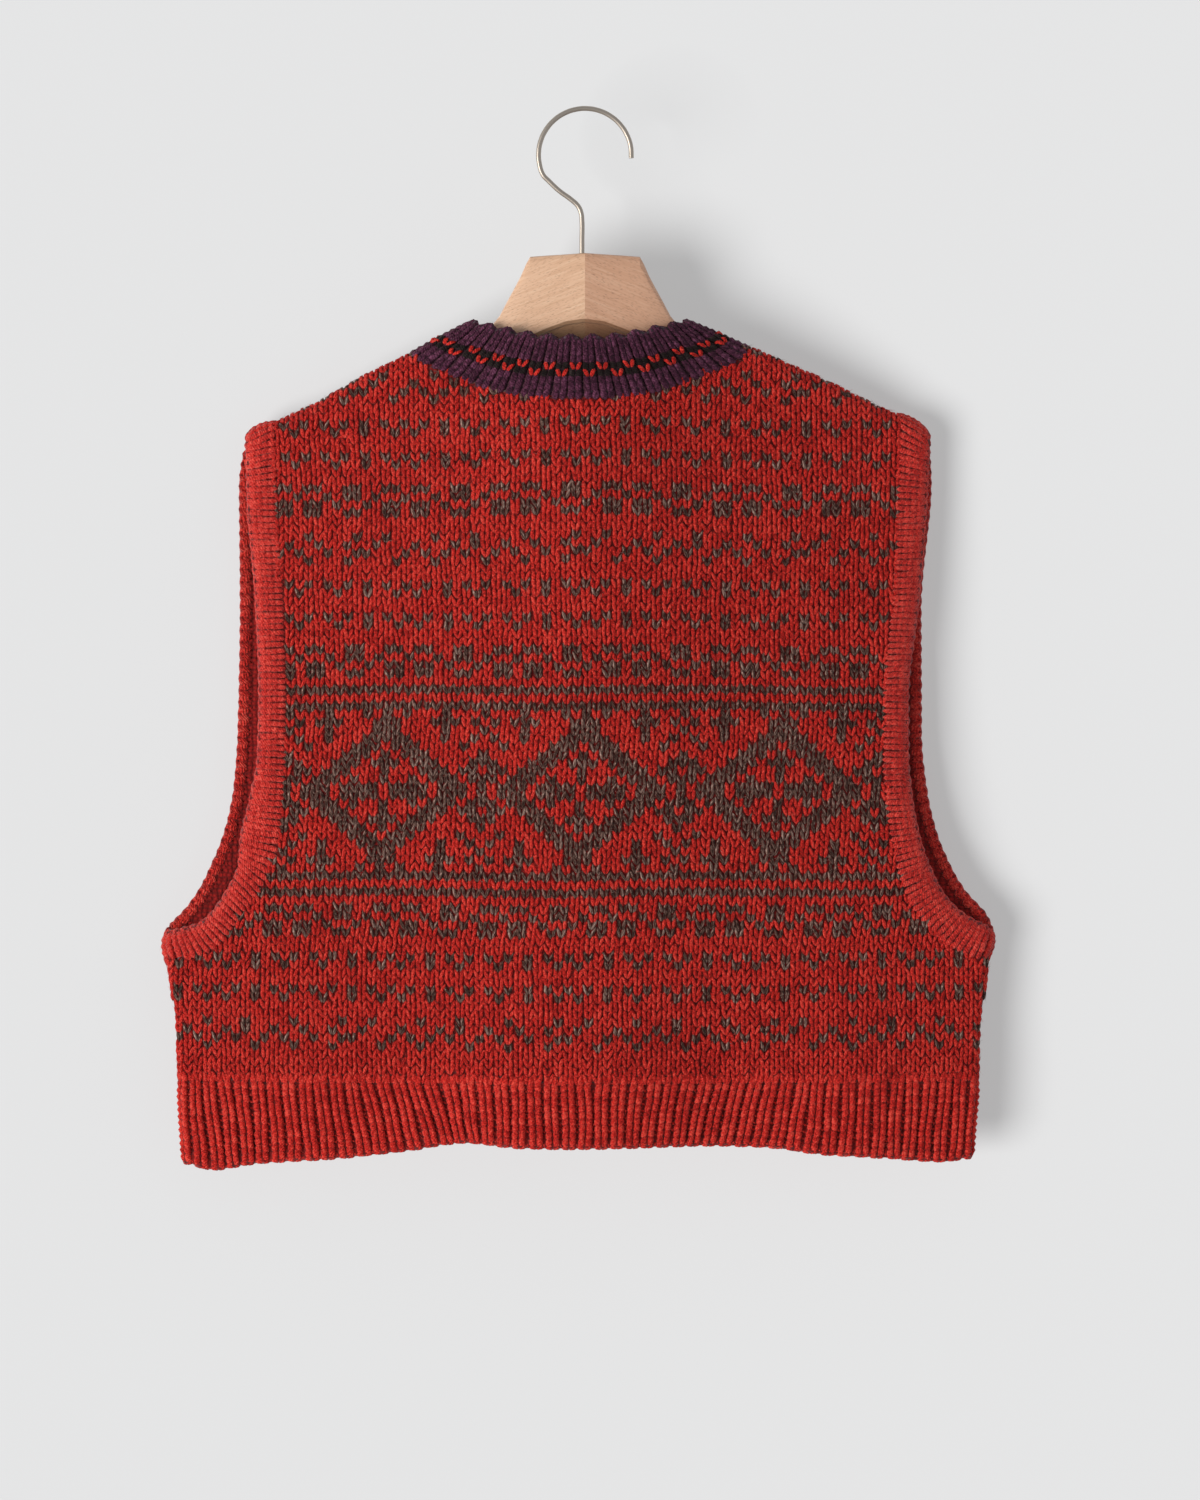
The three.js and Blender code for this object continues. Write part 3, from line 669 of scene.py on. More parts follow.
def makeStrands(name, jobs, material):
    # jobs: (shape, centres mapped to points, dye, tone), joined in one piece
    allPoints, tips, sides, dyes, tones, runs = [], [], [], [], [], []
    offset = 0
    for shape, points, dye, tone in jobs:
        count = len(dye)
        flatPoints = points.reshape(-1, 3)
        base = np.arange(count)[:, None, None] * len(shape)
        f3, f4 = outward(flatPoints, [(legTips[None] + base).reshape(-1, 3),
                                      (legSides[None] + base).reshape(-1, 4)])
        allPoints.append(flatPoints)
        tips.append(f3 + offset)
        sides.append(f4 + offset)
        offset += count * len(shape)
        dyes.append(np.repeat(dye, len(shape)))
        tones.append(np.repeat(tone, len(shape)))
        run = np.stack([shape[:, 3] * yarn["legLong"], shape[:, 4] * yarn["legHalf"],
                        shape[:, 3] * 0], axis=1)
        shift = rng.uniform(0, 6, (count, 1, 1))
        runs.append((run[None] + shift).reshape(-1, 3))
    return meshPiece(name, np.concatenate(allPoints), [np.concatenate(tips), np.concatenate(sides)],
                     material, {"dye": np.concatenate(dyes), "tone": np.concatenate(tones),
                                "strand": np.concatenate(runs)})


# plain knitting of the two panels
knit = {
    "firstRow": -193.7,      # height of row 0, mm
    "rowPitch": 5.015,
    "rows": (-13, 81),
    "columns": (-46, 55),
    "centreColumn": 4,
    "mirror": 8,             # the front's chart runs the other way from this column
    "edgeGap": 1.2,          # mm kept free at the armhole and at the neck
    "neckGap": 1.6,
    "centreLine": {"z": [-610, -527, -500, -425, -340, -242, -192],
                   "x": [-10.5, -10.2, -7.7, -2.3, 1.2, 0.7, 0.2]},
    "columnPitch": {"z": [-610, -330, -190], "w": [6.08, 6.16, 6.27]},
    "pitchShaped": 6.2,      # the stitch width that the leg's shape is drawn for
    # for each dye, a strand's girth and relief: the carried heather yarn is thinner and deeper
    "dyes": ((0.0, 1.0, 1.0), (1.0, 0.84, 0.85)),
    # how far stitches and their legs differ: place and slip in mm, the others as shares
    "unevenness": 0.27,
    "slip": 0.18,
    "plump": 0.15,
    "tilt": 0.12,
    "legTone": 0.2,
    # rows and columns of soft knitting never run quite straight: mm, long wave, bend, short wave
    "sideways": (0.5, 21, 1.4, 47),
    "upwards": (0.55, 29, 1.7, 53),
    "straightBelow": (-560, 30),
}
centreLine = curveThrough(knit["centreLine"], "z", "x")
columnPitch = curveThrough(knit["columnPitch"], "z", "w")
neckSeam = {f: curveThrough(neckline[sideName[f]], "x", "z") for f in (-1, 1)}


def panelStitches(face):
    # centre x, level and dye of each stitch that lies on the panel
    found = []
    firstRow, lastRow = knit["rows"]
    firstColumn, lastColumn = knit["columns"]
    for row in range(firstRow, lastRow + 1):
        level = knit["firstRow"] - row * knit["rowPitch"]
        middle = float(centreLine(level))
        pitch = float(columnPitch(level))
        for column in range(firstColumn, lastColumn + 1):
            x = middle + (column - knit["centreColumn"]) * pitch
            shoulder = float(shoulderAt(x))
            if level > shoulder + quarter - form["shoulderRadius"] - 1:
                continue
            height = min(level, shoulder)
            reach = float(halfWidth(face, min(height, form["armholeTop"]), x < 0))
            if abs(x) > reach - knit["edgeGap"]:
                continue
            away = abs(x - form["neckCentre"])
            if away < form["neckHalf"]:
                seam = float(neckSeam[face](away))
                down = shoulder - level + quarter - form["shoulderRadius"]
                if down < float(dropTo(x, seam)) + knit["neckGap"]:
                    continue
            chartColumn = column if face < 0 else knit["mirror"] - column
            found.append((x, level, pitch, dyeAt(chartColumn, row)))
    return np.array(found)


def wander(x, level):
    start, length = knit["straightBelow"]
    inside = ease((level - start) / length)

    def wave(facts, a, b):
        far, long, bend, short = facts
        return far * np.sin(a / long + bend * np.sin(b / short)) * inside
    return x + wave(knit["sideways"], level, x), level + wave(knit["upwards"], x, level)


def knitPanel(face, lower, upper, name):
    allCells = panelStitches(face)
    allCells = allCells[(allCells[:, 1] > lower) & (allCells[:, 1] <= upper)]
    jobs = []
    for dye, girth, relief in knit["dyes"]:
        cells = allCells[allCells[:, 3] == dye]
        count = len(cells)
        sway = rng.normal(0, knit["unevenness"], (count, 2))
        tone = rng.uniform(0, 1, count)
        for sign in (-1, 1):
            shape = strandShape(plainLeg, sign, knit["rowPitch"], girth, relief)
            grow = cells[:, 2:3] / knit["pitchShaped"]
            plump = rng.normal(1, knit["plump"], (count, 1))
            tilt = rng.normal(0, knit["tilt"], (count, 1))
            across = shape[None, :, 0] + tilt * shape[None, :, 1]
            x = cells[:, 0:1] + sway[:, 0:1] + across * grow
            level = cells[:, 1:2] + sway[:, 1:2] - shape[None, :, 1]
            x, level = wander(x, level + rng.normal(0, knit["slip"], (count, 1)))
            points = knitPoint(face, x, level, shape[None, :, 2] * plump)
            legTone = np.clip(tone + rng.normal(0, knit["legTone"], count), 0, 1)
            jobs.append((shape, points, cells[:, 3], legTone))
    return makeStrands(name, jobs, bodyWool)


# the thin cloth under the stitches, whose inside shows at the neck and the armholes
def shadeOutside(shell, across, columns):
    # painted shade for the depth between the stitches: faces whose corners all lie in the first columns
    # of a ring get a darker wool
    shell.data.materials.append(paintedShadeWool)
    for polygon in shell.data.polygons:
        if max(v % across for v in polygon.vertices) < columns:
            polygon.material_index = 1


def panelShell(face, name):
    # finer where the cloth turns round the sides
    shares = np.unique(np.concatenate([
        np.linspace(-0.96, 0.96, 65), np.linspace(-1, -0.96, 6), np.linspace(0.96, 1, 6)]))
    levelBelow = form["levelBelow"]
    levels = np.concatenate([np.linspace(0, 1, 22), 1 + np.linspace(0, 1, 53)[1:]])
    outer, inner = [], []
    for share in shares:
        left = share < 0
        top = share * float(halfWidth(face, form["shoulderEnd"], left))
        away = abs(top - form["neckCentre"])
        underNeck = away < form["neckHalf"]
        first = float(dropTo(top, neckSeam[face](away))) + 0.5 if underNeck else 0.05
        last = float(dropTo(top, levelBelow))
        down = first + (last - first) * np.clip(levels, 0, 1)
        z = np.minimum(shoulderAt(top) - down, form["armholeTop"])
        x = share * halfWidth(face, z, left)
        lowZ = levelBelow + (form["hemTop"] - levelBelow + 0.2) * (levels - 1)
        lowX = share * halfWidth(face, lowZ, left)
        below = levels > 1
        x = np.where(below, lowX, x)
        down = np.where(below, dropTo(lowX, np.minimum(lowZ, levelBelow)), down)
        outer.append(clothPoint(face, x, down, 0.3))
        inner.append(clothPoint(face, x, down, form["wall"]))
    rings = np.concatenate([np.array(outer), np.array(inner)[:, ::-1]], axis=1)
    n, m = rings.shape[:2]
    points = rings.reshape(-1, 3)
    shell = meshPiece(name, points, tubeFaces(points, n, m, False), purlWool)
    # the outer face takes the darker wool, painted shade between the stitches
    shadeOutside(shell, m, m // 2)
    return shell


purlSize = (0.0031, 0.02, 0.0025)      # metres across, through and up from bump to bump


def purlMaterial(name, dark, light):
    # the wrong side of the knitting: rows of small purl bumps and carried strands; each bump's colour
    # darkens from its middle to its edge, painted shade between the bumps
    material, tree = newMaterial(name)
    place = addNode(tree, "TexCoord").outputs["Object"]
    scaled = addNode(tree, "Mapping", {"Scale": tuple(1 / size for size in purlSize)},
                     {"Vector": place}).outputs["Vector"]
    bumps = addNode(tree, "TexVoronoi", {"Scale": 1.0, "Randomness": 0.45},
                    {"Vector": scaled}).outputs["Distance"]
    speck = addNode(tree, "TexNoise", {"Scale": 700.0, "Detail": 3.0},
                    {"Vector": place}).outputs["Fac"]
    # painted shade: light on the bumps, dark where they meet
    colour = rampOf(tree, bumps, [(0.1, light), (0.75, dark)])
    height = addNode(tree, "Math", {"operation": "MULTIPLY_ADD", 1: -1.6},
                     {0: bumps, 2: speck}).outputs[0]
    bump = addNode(tree, "Bump", {"Strength": 0.8, "Distance": 0.0012},
                   {"Height": height}).outputs["Normal"]
    wool = addNode(tree, "BsdfPrincipled", {
        "Roughness": 0.95, "Specular IOR Level": 0.12, "Sheen Weight": 0.25,
        "Sheen Roughness": 0.5}, {"Base Color": colour, "Normal": bump})
    finishMaterial(tree, wool)
    return material


purlWool = purlMaterial("red lambswool, wrong side", "#5E0E0C", "#AE1E1A")
# painted shade: a darker red for the cloth's outer face, where it shows between the stitches
paintedShadeWool = purlMaterial("red lambswool, painted shade between the stitches", "#4A0C0A", "#8C1713")
neckPurl = purlMaterial("purple lambswool, wrong side", "#1E0C16", "#472236")

for face, side in sideName.items():
    panelShell(face, side + "PanelCloth")
    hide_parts(side + "_panel")
print("panel cloth made")

for face, side in sideName.items():
    for part, lower, upper in (("Yoke", -335, 0), ("Chest", -480, -335), ("Waist", -610, -480)):
        piece = knitPanel(face, lower, upper, side + part + "Stitches")
        print(piece.name, len(piece.data.polygons), "faces")

# ribbed bands: a strip from a seam line to an edge line, rolled over at the edge
bands = {
    # spread, girth and tilt of a strand as shares of a rib; relief and ripple of the edge in mm,
    # with the ribs in a wave of it; lip is how far the cloth swells at the edge, waver how far
    # a rib strays, groove how deep the cloth lies between two ribs, overlap how far a leg
    # reaches over the next, widen how much the legs thicken towards the edge, crown how far the
    # band bulges between its seam and its edge, brighter how much paler its stitches are painted,
    # as painted light where the ribs shade each other; purl is the share of their tone that the
    # bumps between the ribs keep where they show, a painted shade in the grooves
    "armhole": {"ribs": 94, "rowPitch": 4.1, "edge": 1.6, "perRib": 6, "spread": 0.25,
                "girth": 0.265, "tilt": 0.035, "relief": 0.8, "ripple": 0.45, "wave": 1,
                "fade": 0.0, "lip": 0.7, "waver": 0.3, "groove": 0.7,
                "overlap": 1.4, "widen": 0.34, "crown": 1.7, "brighter": 0.0, "purl": 0.0},
    "neck": {"ribs": 54, "rowPitch": 4.4, "edge": 1.9, "perRib": 8, "spread": 0.228,
             "girth": 0.28, "tilt": 0.055, "relief": 0.9, "ripple": 1.6, "wave": 2,
             "fade": 0.0, "lip": 1.2, "waver": 0.3, "groove": 0.8,
             "overlap": 1.12, "widen": 0.0, "crown": 0.6, "brighter": 0.0, "purl": 0.0},
    "hem": {"ribs": 50, "rowPitch": 4.2, "edge": 1.8, "perRib": 8, "spread": 0.21,
            "girth": 0.23, "tilt": 0.065, "relief": 1.05, "ripple": 0.1, "wave": 1,
            "fade": 11.0, "lip": 0.75, "waver": 0.45, "groove": 1.2,
            "overlap": 1.15, "widen": 0.0, "crown": 0.0, "brighter": 0.2, "purl": 0.7},
}
bandCloth = {
    "crest": 0.6,       # how the cloth follows the ribs: mm under a rib, share of a groove between two
    "valley": 0.6,
    "under": 0.3,       # mm that it lies under the stitches
    "outerColumns": 8,  # columns of its ring that face out
    "flattens": 3,      # mm behind the rolled edge over which its ribs end
}
# the neck's marks in two rows of black: their first row, and one leaf beside a rib's leg
neckMarks = {"row": 3, "girth": 0.22, "tilt": 0.16, "relief": 1.35, "length": 0.95}
# what all bands share: rows behind the rolled edge, how the legs differ, the length of a rib's
# waver, the palest tone, and how the relief flattens towards the edge
ribKnit = {
    "rowsInside": 1,
    "sway": 0.12,
    "legTone": 0.12,
    "waverLong": 8,
    "palest": 1.4,
    "edgeFrom": 3.5,
    "edgeOver": 4,
    "edgeFlatter": 0.7,
}
# how the hem's ribs lean where the cloth is drawn together: x and degrees, feet to the right
ribLean = {
    "x": [-250, -220, -164, -133, -108, -96, -78, -56, 0, 22, 59, 84, 105, 133, 152, 183, 240],
    "lean": [0, 2, 6, 12, 14, 13, 8, 2, 0, -3, -7, -10, -11, -7, -3, 0, 0],
}
hemHeight = 44
hemHalf = 250


def resample(points, count, closed):
    loop = np.concatenate([points, points[:1]]) if closed else points
    middle = loop[:, 0:3] * 0.5 + loop[:, 3:6] * 0.5
    length = np.concatenate([[0], np.cumsum(np.linalg.norm(np.diff(middle, axis=0), axis=1))])
    at = np.linspace(0, length[-1], count + 1)
    if closed:
        at = at[:-1]
    columns = [np.interp(at, length, loop[:, k]) for k in range(loop.shape[1])]
    return np.stack(columns, axis=1), length[-1]


def unit(v):
    return v / np.maximum(np.linalg.norm(v, axis=-1, keepdims=True), 1e-9)


def bandFrame(controls, kind, closed):
    # controls: seam outer, edge outer, seam normal, edge normal, in rows of 12 numbers
    facts = bands[kind]
    rows, length = resample(controls, facts["ribs"] * facts["perRib"], closed)
    seam, edge = rows[:, 0:3], rows[:, 3:6]
    phase = np.arange(len(rows)) / len(rows) * facts["ribs"] / facts["wave"]
    ripple = facts["ripple"] * -np.cos(2 * math.pi * phase)
    edge += unit(edge - seam) * ripple[:, None]
    width = np.linalg.norm(edge - seam, axis=1)
    return {**facts, "rows": rows, "width": width, "length": length, "closed": closed}


def bandPoint(frame, share, t, height):
    # share round the band 0 to 1, t from the seam in mm, height over its outer face
    rows, closed = frame["rows"], frame["closed"]
    n = len(rows)
    spot = share * n if closed else np.clip(share, 0, 1) * (n - 1)
    low = np.floor(spot).astype(int)
    mix = (spot - low)[..., None]
    a = rows[low % n]
    b = rows[(low + 1) % n] if closed else rows[np.minimum(low + 1, n - 1)]
    row = a * (1 - mix) + b * mix
    seam, edge, seamUp, edgeUp = row[..., 0:3], row[..., 3:6], row[..., 6:9], row[..., 9:12]
    width = np.linalg.norm(edge - seam, axis=-1)
    radius = frame["edge"]
    flat = width - radius
    past = t - flat
    near = ease((past + ribKnit["edgeFrom"]) / ribKnit["edgeOver"])
    height = height * (1 - ribKnit["edgeFlatter"] * near) + frame["lip"] * near
    bend = np.clip(past / radius, 0, math.pi)
    beyond = np.maximum(past - math.pi * radius, 0)
    along = np.where(past > 0, flat + (radius + height) * np.sin(bend) - beyond, t)
    lift = np.where(past > 0, -radius + (radius + height) * np.cos(bend), height)
    part = along / width
    within = np.clip(part, 0, 1)
    lift = lift + frame["crown"] * 4 * within * (1 - within)
    up = unit(seamUp * (1 - within)[..., None] + edgeUp * within[..., None])
    return seam + (edge - seam) * part[..., None] + up * lift[..., None]


def controlRow(face, x, down, edgeX, edgeDown, sink=0.0):
    # one control line of a band, from the same surface as the panels
    seam = clothPoint(face, x, down, 0.0)
    edge = clothPoint(face, edgeX, edgeDown, sink)
    seamUp = unit(seam - clothPoint(face, x, down, form["wall"]))
    edgeUp = unit(edge - clothPoint(face, edgeX, edgeDown, form["wall"]))
    return np.concatenate([seam, edge, seamUp, edgeUp], axis=-1)


armholeSink = 2.4      # mm that an armhole band's edge lies behind its seam


def armholeControls(left):
    parts = []
    for face in (-1, 1):
        table = armholes[armholeOf(face, left)]
        sign = -1.0 if left else 1.0
        line = curveThrough(table, "z", "x")
        edgeX = curveThrough(table, "z", "edgeX")
        edgeZ = curveThrough(table, "z", "edgeZ")
        top = table["z"][0]
        turnDown = np.linspace(0.0, quarter, 7)[:-1]
        x = np.full(len(turnDown), sign * table["x"][0])
        ex = np.full(len(turnDown), sign * table["edgeX"][0])
        arc = controlRow(face, x, turnDown, ex, turnDown, armholeSink * ease(turnDown / quarter))
        z = np.linspace(top + form["shoulderRadius"], -form["underarm"], 70)
        x = sign * np.minimum(line(z), (foldLeft(-z) if left else foldRight(-z)) + foldSpare)
        ex = sign * edgeX(z)
        eDown = np.maximum(dropTo(ex, edgeZ(z)), quarter)
        straight = controlRow(face, x, dropTo(x, -z), ex, eDown, armholeSink)
        parts.append(np.concatenate([arc, straight]))
    return np.concatenate([parts[0], parts[1][::-1][1:]])


def neckControls():
    parts = []
    for face in (-1, 1):
        table = neckline[sideName[face]]
        topX = curveThrough(table, "x", "topX")
        topZ = curveThrough(table, "x", "topZ")
        away = np.concatenate([np.linspace(0, 92, 24), np.linspace(94, form["neckHalf"], 16)])
        signed = np.concatenate([-away[::-1], away[1:]])
        size = np.abs(signed)
        x = form["neckCentre"] + signed
        ex = form["neckCentre"] + np.sign(signed) * topX(size)
        down = dropTo(x, neckSeam[face](size))
        eDown = dropTo(ex, topZ(size))
        down[[0, -1]] = 0.0
        eDown[[0, -1]] = 0.0
        parts.append(controlRow(face, x, down, ex, eDown))
    return np.concatenate([parts[0], parts[1][::-1][1:-1]])


def hemControls(face):
    share = np.linspace(-1, 1, 280)
    top = form["hemTop"] - form["seam"]
    left = share < 0

    def across(z, s):
        return s * (np.where(left, foldLeft(z), foldRight(z)) + foldSpare)
    x = across(np.full_like(share, top), share)
    bottom = hemAt(x)
    drift = np.tan(np.radians(curveThrough(ribLean, "x", "lean")(-face * x))) * hemHeight * -face
    foot = np.clip(share + drift / hemHalf, -1, 1)
    ex = across(bottom, foot)
    bottom = hemAt(ex)
    return controlRow(face, x, dropTo(x, top), ex, dropTo(ex, bottom))


def ribFade(frame, t):
    # the hem's ribs rise slowly out of the plain knitting
    return 0.1 + 0.9 * ease(t / frame["fade"]) if frame["fade"] else np.ones_like(t)


def bandShell(frame, name, material):
    n = len(frame["rows"])
    share = np.arange(n) / n if frame["closed"] else np.linspace(0, 1, n)
    rings = []
    for s, width in zip(share, frame["width"]):
        flat = width - frame["edge"]
        turn = math.pi * frame["edge"]
        t = np.concatenate([np.linspace(-0.9, flat, 7), flat + turn * np.linspace(0.15, 1, 6),
                            flat + turn + np.linspace(0.15, 1, 4) * (flat - 0.5)])
        ridge = math.cos(math.pi * (s * frame["ribs"] - 0.5)) ** 2
        lift = (bandCloth["crest"] + frame["groove"]) * ridge - bandCloth["valley"] * frame["groove"]
        lift = lift * ribFade(frame, t) * np.clip(1 - (t - flat - turn) / bandCloth["flattens"], 0, 1)
        rings.append(bandPoint(frame, np.full(len(t), s), t, lift - bandCloth["under"]))
    m = len(rings[0])
    points = np.concatenate(rings)
    shell = meshPiece(name, points, tubeFaces(points, n, m, frame["closed"]), material)
    # the outer face takes the darker wool, painted shade in the grooves between the ribs
    if material == purlWool:
        shadeOutside(shell, m, bandCloth["outerColumns"])
    return shell


def ribStitches(frame, name, material, dyeOf):
    ribs = frame["ribs"]
    pitch = frame["length"] / ribs
    cells = []
    n = len(frame["rows"])
    for rib in range(ribs):
        share = (rib + 0.5) / ribs
        width = frame["width"][min(n - 1, int(share * n))]
        reach = width + frame["edge"] * (math.pi - 1) + ribKnit["rowsInside"] * frame["rowPitch"]
        count = max(2, round(reach / frame["rowPitch"]))
        step = reach / count
        for row in range(count):
            cells.append((share, (row + 0.1) * step, step, dyeOf(rib, row), rib))
    cells = np.array(cells)
    count = len(cells)
    # the lift is painted light: paler stitches where the ribs shade each other
    tone = rng.uniform(0, 1, count) + frame["brighter"]
    sway = rng.normal(0, ribKnit["sway"], (count, 2))
    phase = rng.uniform(0, 2 * math.pi, ribs)
    jobs = []

    def lay(chosen, sign, girth, tilt, relief, dye, length):
        # one leg of each chosen stitch, at its place round the band
        shape = strandShape([(a, b * tilt * pitch, c * length, d, e) for a, b, c, d, e in ribLeg], sign,
                            frame["rowPitch"], girth * pitch, relief)
        here = cells[chosen]
        wider = 1 + frame["widen"] * ease(here[:, 1:2] / frame["width"].mean())
        across = sign * frame["spread"] * pitch + shape[None, :, 0] * wider + sway[chosen, 0:1]
        start = phase[here[:, 4].astype(int)][:, None]
        across = across + frame["waver"] * np.sin(here[:, 1:2] / ribKnit["waverLong"] + start)
        share = here[:, 0:1] + across / frame["length"]
        t = here[:, 1:2] + sway[chosen, 1:2] - shape[None, :, 1] * here[:, 2:3] / frame["rowPitch"]
        points = bandPoint(frame, share, t, shape[None, :, 2] * (0.4 + 0.6 * ribFade(frame, t)))
        legTone = tone[chosen] + rng.normal(0, ribKnit["legTone"], len(here))
        legTone = np.clip(legTone, 0, ribKnit["palest"])
        jobs.append((shape, points, dye, legTone))

    marked = cells[:, 3] == 2.0
    everyOne = np.arange(count)
    for sign in (-1, 1):
        ground = np.where(marked, 1.0, cells[:, 3])
        lay(everyOne, sign, frame["girth"], frame["tilt"], frame["relief"], ground, frame["overlap"])
        if marked.any():
            # the red marks lie on the black as small leaning leaves
            lay(everyOne[marked], sign, neckMarks["girth"], neckMarks["tilt"],
                frame["relief"] * neckMarks["relief"], cells[marked, 3], neckMarks["length"])
    if frame["purl"]:
        room = (0.5 - frame["spread"]) * pitch
        shape = strandShape([(a, b * room / 1.5, c, d, e) for a, b, c, d, e in purlBump], 1,
                            frame["rowPitch"])
        share = cells[:, 0:1] + 0.5 / ribs + shape[None, :, 0] / frame["length"]
        t = cells[:, 1:2] - shape[None, :, 1] + 0.5 * frame["rowPitch"]
        points = bandPoint(frame, share, t, shape[None, :, 2] + 0 * t)
        # the purl bumps keep only part of the tone: painted shade in the grooves between the ribs
        jobs.append((shape, points, cells[:, 3], tone * frame["purl"]))
    return makeStrands(name, jobs, material)


bandParts = [
    ("armhole_band_left", "armhole", armholeControls(True), True, "leftArmhole"),
    ("armhole_band_right", "armhole", armholeControls(False), True, "rightArmhole"),
    ("hem_rib_back", "hem", hemControls(-1), False, "backHem"),
    ("hem_rib_front", "hem", hemControls(1), False, "frontHem"),
    ("neck_band", "neck", neckControls(), True, "neck"),
]


def neckDye(rib, row):
    # purple, with two rows of black in the middle that carry the red marks turn about
    past = row - neckMarks["row"]
    if past in (0, 1):
        return 2.0 if (rib + past) % 2 == 0 else 1.0
    return 0.0


def plainDye(rib, row):
    return 0.0


bandShells = {}
for node, kind, controls, closed, title in bandParts:
    bandForm = bandFrame(controls, kind, closed)
    isNeck = kind == "neck"
    shell = bandShell(bandForm, title + "Cloth", neckPurl if isNeck else purlWool)
    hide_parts(node)
    wool = {"neck": neckWool, "armhole": paintedLightRibWool, "hem": bodyWool}[kind]
    piece = ribStitches(bandForm, title + "Ribs", wool, neckDye if isNeck else plainDye)
    bandShells[title] = (shell, bandForm)
    print(piece.name, len(piece.data.polygons), "faces, round", round(bandForm["length"]),
          "mm, wide", round(float(bandForm["width"].mean()), 1), "mm")

# loose fibres that stand off the wool, each one thin closed needle
fuzz = {
    "panelFibres": 12500,
    "bandFibres": {"armhole": 1300, "neck": 1300, "hem": 1100},
    "length": (2.0, 5.0),
    "width": 0.22,
    "rise": (0.1, 0.6),      # height gained for each mm along the cloth
    "root": 0.7,
    "scatter": (3, 2.5),     # how far a root strays from a stitch, across and along
    "neckBlack": (10, 20),   # mm from the neck's seam between which the fibres are black
}


def makeFuzz(name, mapped, dye, material):
    # mapped turns offsets from each root, across, along and up in mm, into points
    count = len(dye)
    turn = rng.uniform(0, 2 * math.pi, (count, 1))
    long = rng.uniform(*fuzz["length"], (count, 1))
    rise = rng.uniform(*fuzz["rise"], (count, 1)) * long
    half = fuzz["width"] / 2
    across = np.cos(turn) * long * [0, 0, 0, 1] + np.sin(turn) * half * [-1, 1, 0, 0]
    along = np.sin(turn) * long * [0, 0, 0, 1] + np.cos(turn) * half * [1, -1, 0, 0]
    up = fuzz["root"] + half * np.array([0, 0, 2, 0]) + rise * [0, 0, 0, 1]
    points = mapped(across, along, up).reshape(-1, 3)
    needle = np.array([(0, 1, 2), (0, 3, 1), (1, 3, 2), (2, 3, 0)])
    faces = (needle[None] + np.arange(count)[:, None, None] * 4).reshape(-1, 3)
    ends = np.tile([0.0, 0.0, 0.0, 1.0], count)
    run = np.stack([ends * 2 + np.repeat(rng.uniform(0, 9, count), 4), ends * 0, ends * 0], axis=1)
    return meshPiece(name, points, outward(points, [faces]), material,
                     {"dye": np.repeat(dye, 4), "tone": np.full(count * 4, 1.0), "strand": run})


for face, side in sideName.items():
    cells = panelStitches(face)
    roots = cells[rng.integers(0, len(cells), fuzz["panelFibres"])]
    strayX, strayLevel = fuzz["scatter"]
    rootX = roots[:, 0:1] + rng.uniform(-strayX, strayX, (len(roots), 1))
    rootLevel = roots[:, 1:2] + rng.uniform(-strayLevel, strayLevel, (len(roots), 1))
    piece = makeFuzz(side + "Fuzz", lambda a, b, up: knitPoint(face, rootX + a, rootLevel + b, up),
                     roots[:, 3], bodyWool)
for node, kind, controls, closed, title in bandParts:
    frameOf = bandShells[title][1]
    count = fuzz["bandFibres"][kind]
    share = rng.uniform(0.005, 0.995, (count, 1))
    t = rng.uniform(0, 1, (count, 1)) * (float(frameOf["width"].mean()) + 2)
    low, high = fuzz["neckBlack"] if kind == "neck" else (0, 0)
    dark = (t > low) & (t < high)
    piece = makeFuzz(title + "Fuzz",
                     lambda a, b, up: bandPoint(frameOf, share + a / frameOf["length"], t + b, up),
                     dark[:, 0].astype(float), neckWool if kind == "neck" else paintedLightRibWool)
print("fuzz laid")

# the wooden hanger, extruded section by section from its left tip
hanger = {
    "x": [0, 12, 24, 34, 36.5, 40, 44.5, 49, 53, 58],
    "top": [-88.3, -89, -89.6, -90.2, -94.5, -102.5, -110.8, -119, -126.6, -132.6],
    "under": [-131.6, -133.2, -137.6, -142, -143, -144.6, -146.5, -148.6, -150.6, -153],
    "armHalf": 5.5,
    "headThins": (60, 20),             # the head is 1 mm thicker to each side: up to where, how slowly
    "underCloth": 1.6,                 # the arms lie this far under the shoulders' cloth
    "armDips": (3, 130, 20),           # and near the head deeper: how much, from where, over what
    "armDeep": 19.5,                   # how deep an arm is where it leaves the head
    "armTapers": 4 / 140,
    "straight": 67,                    # up to here the wood is straight, then it sweeps back
    "tip": {196: 0.6, 195: 0.8, 192: 0.94, 186: 1.0},                 # how an arm's end is rounded
    "tipBevel": 1.8,
    "cove": [(0, 9.5), (12, 9.0), (24, 6.5), (34, 3.0), (40, 0.0)],   # how far the arch slopes back
}


def hangerSection(x):
    # top, underside, half depth and middle of the wood at a place along it
    size = abs(x)
    headEnd = hanger["x"][-1]
    if size <= headEnd:
        top = float(curveThrough(hanger, "x", "top")(size))
        under = float(curveThrough(hanger, "x", "under")(size))
    else:
        dip, start, length = hanger["armDips"]
        top = float(shoulderAt(x)) - form["wall"] - hanger["underCloth"]
        top = top - dip * min(1, max(0, (start - size) / length))
        under = top - hanger["armDeep"] + hanger["armTapers"] * (size - headEnd)
    start, length = hanger["headThins"]
    half = hanger["armHalf"] + max(0, min(1, (start - size) / length))
    if size < hanger["straight"]:
        middle = float(setBack(hanger["straight"], -130)) * size / hanger["straight"]
    else:
        middle = float(setBack(x, -200))
    return top, under, half, middle


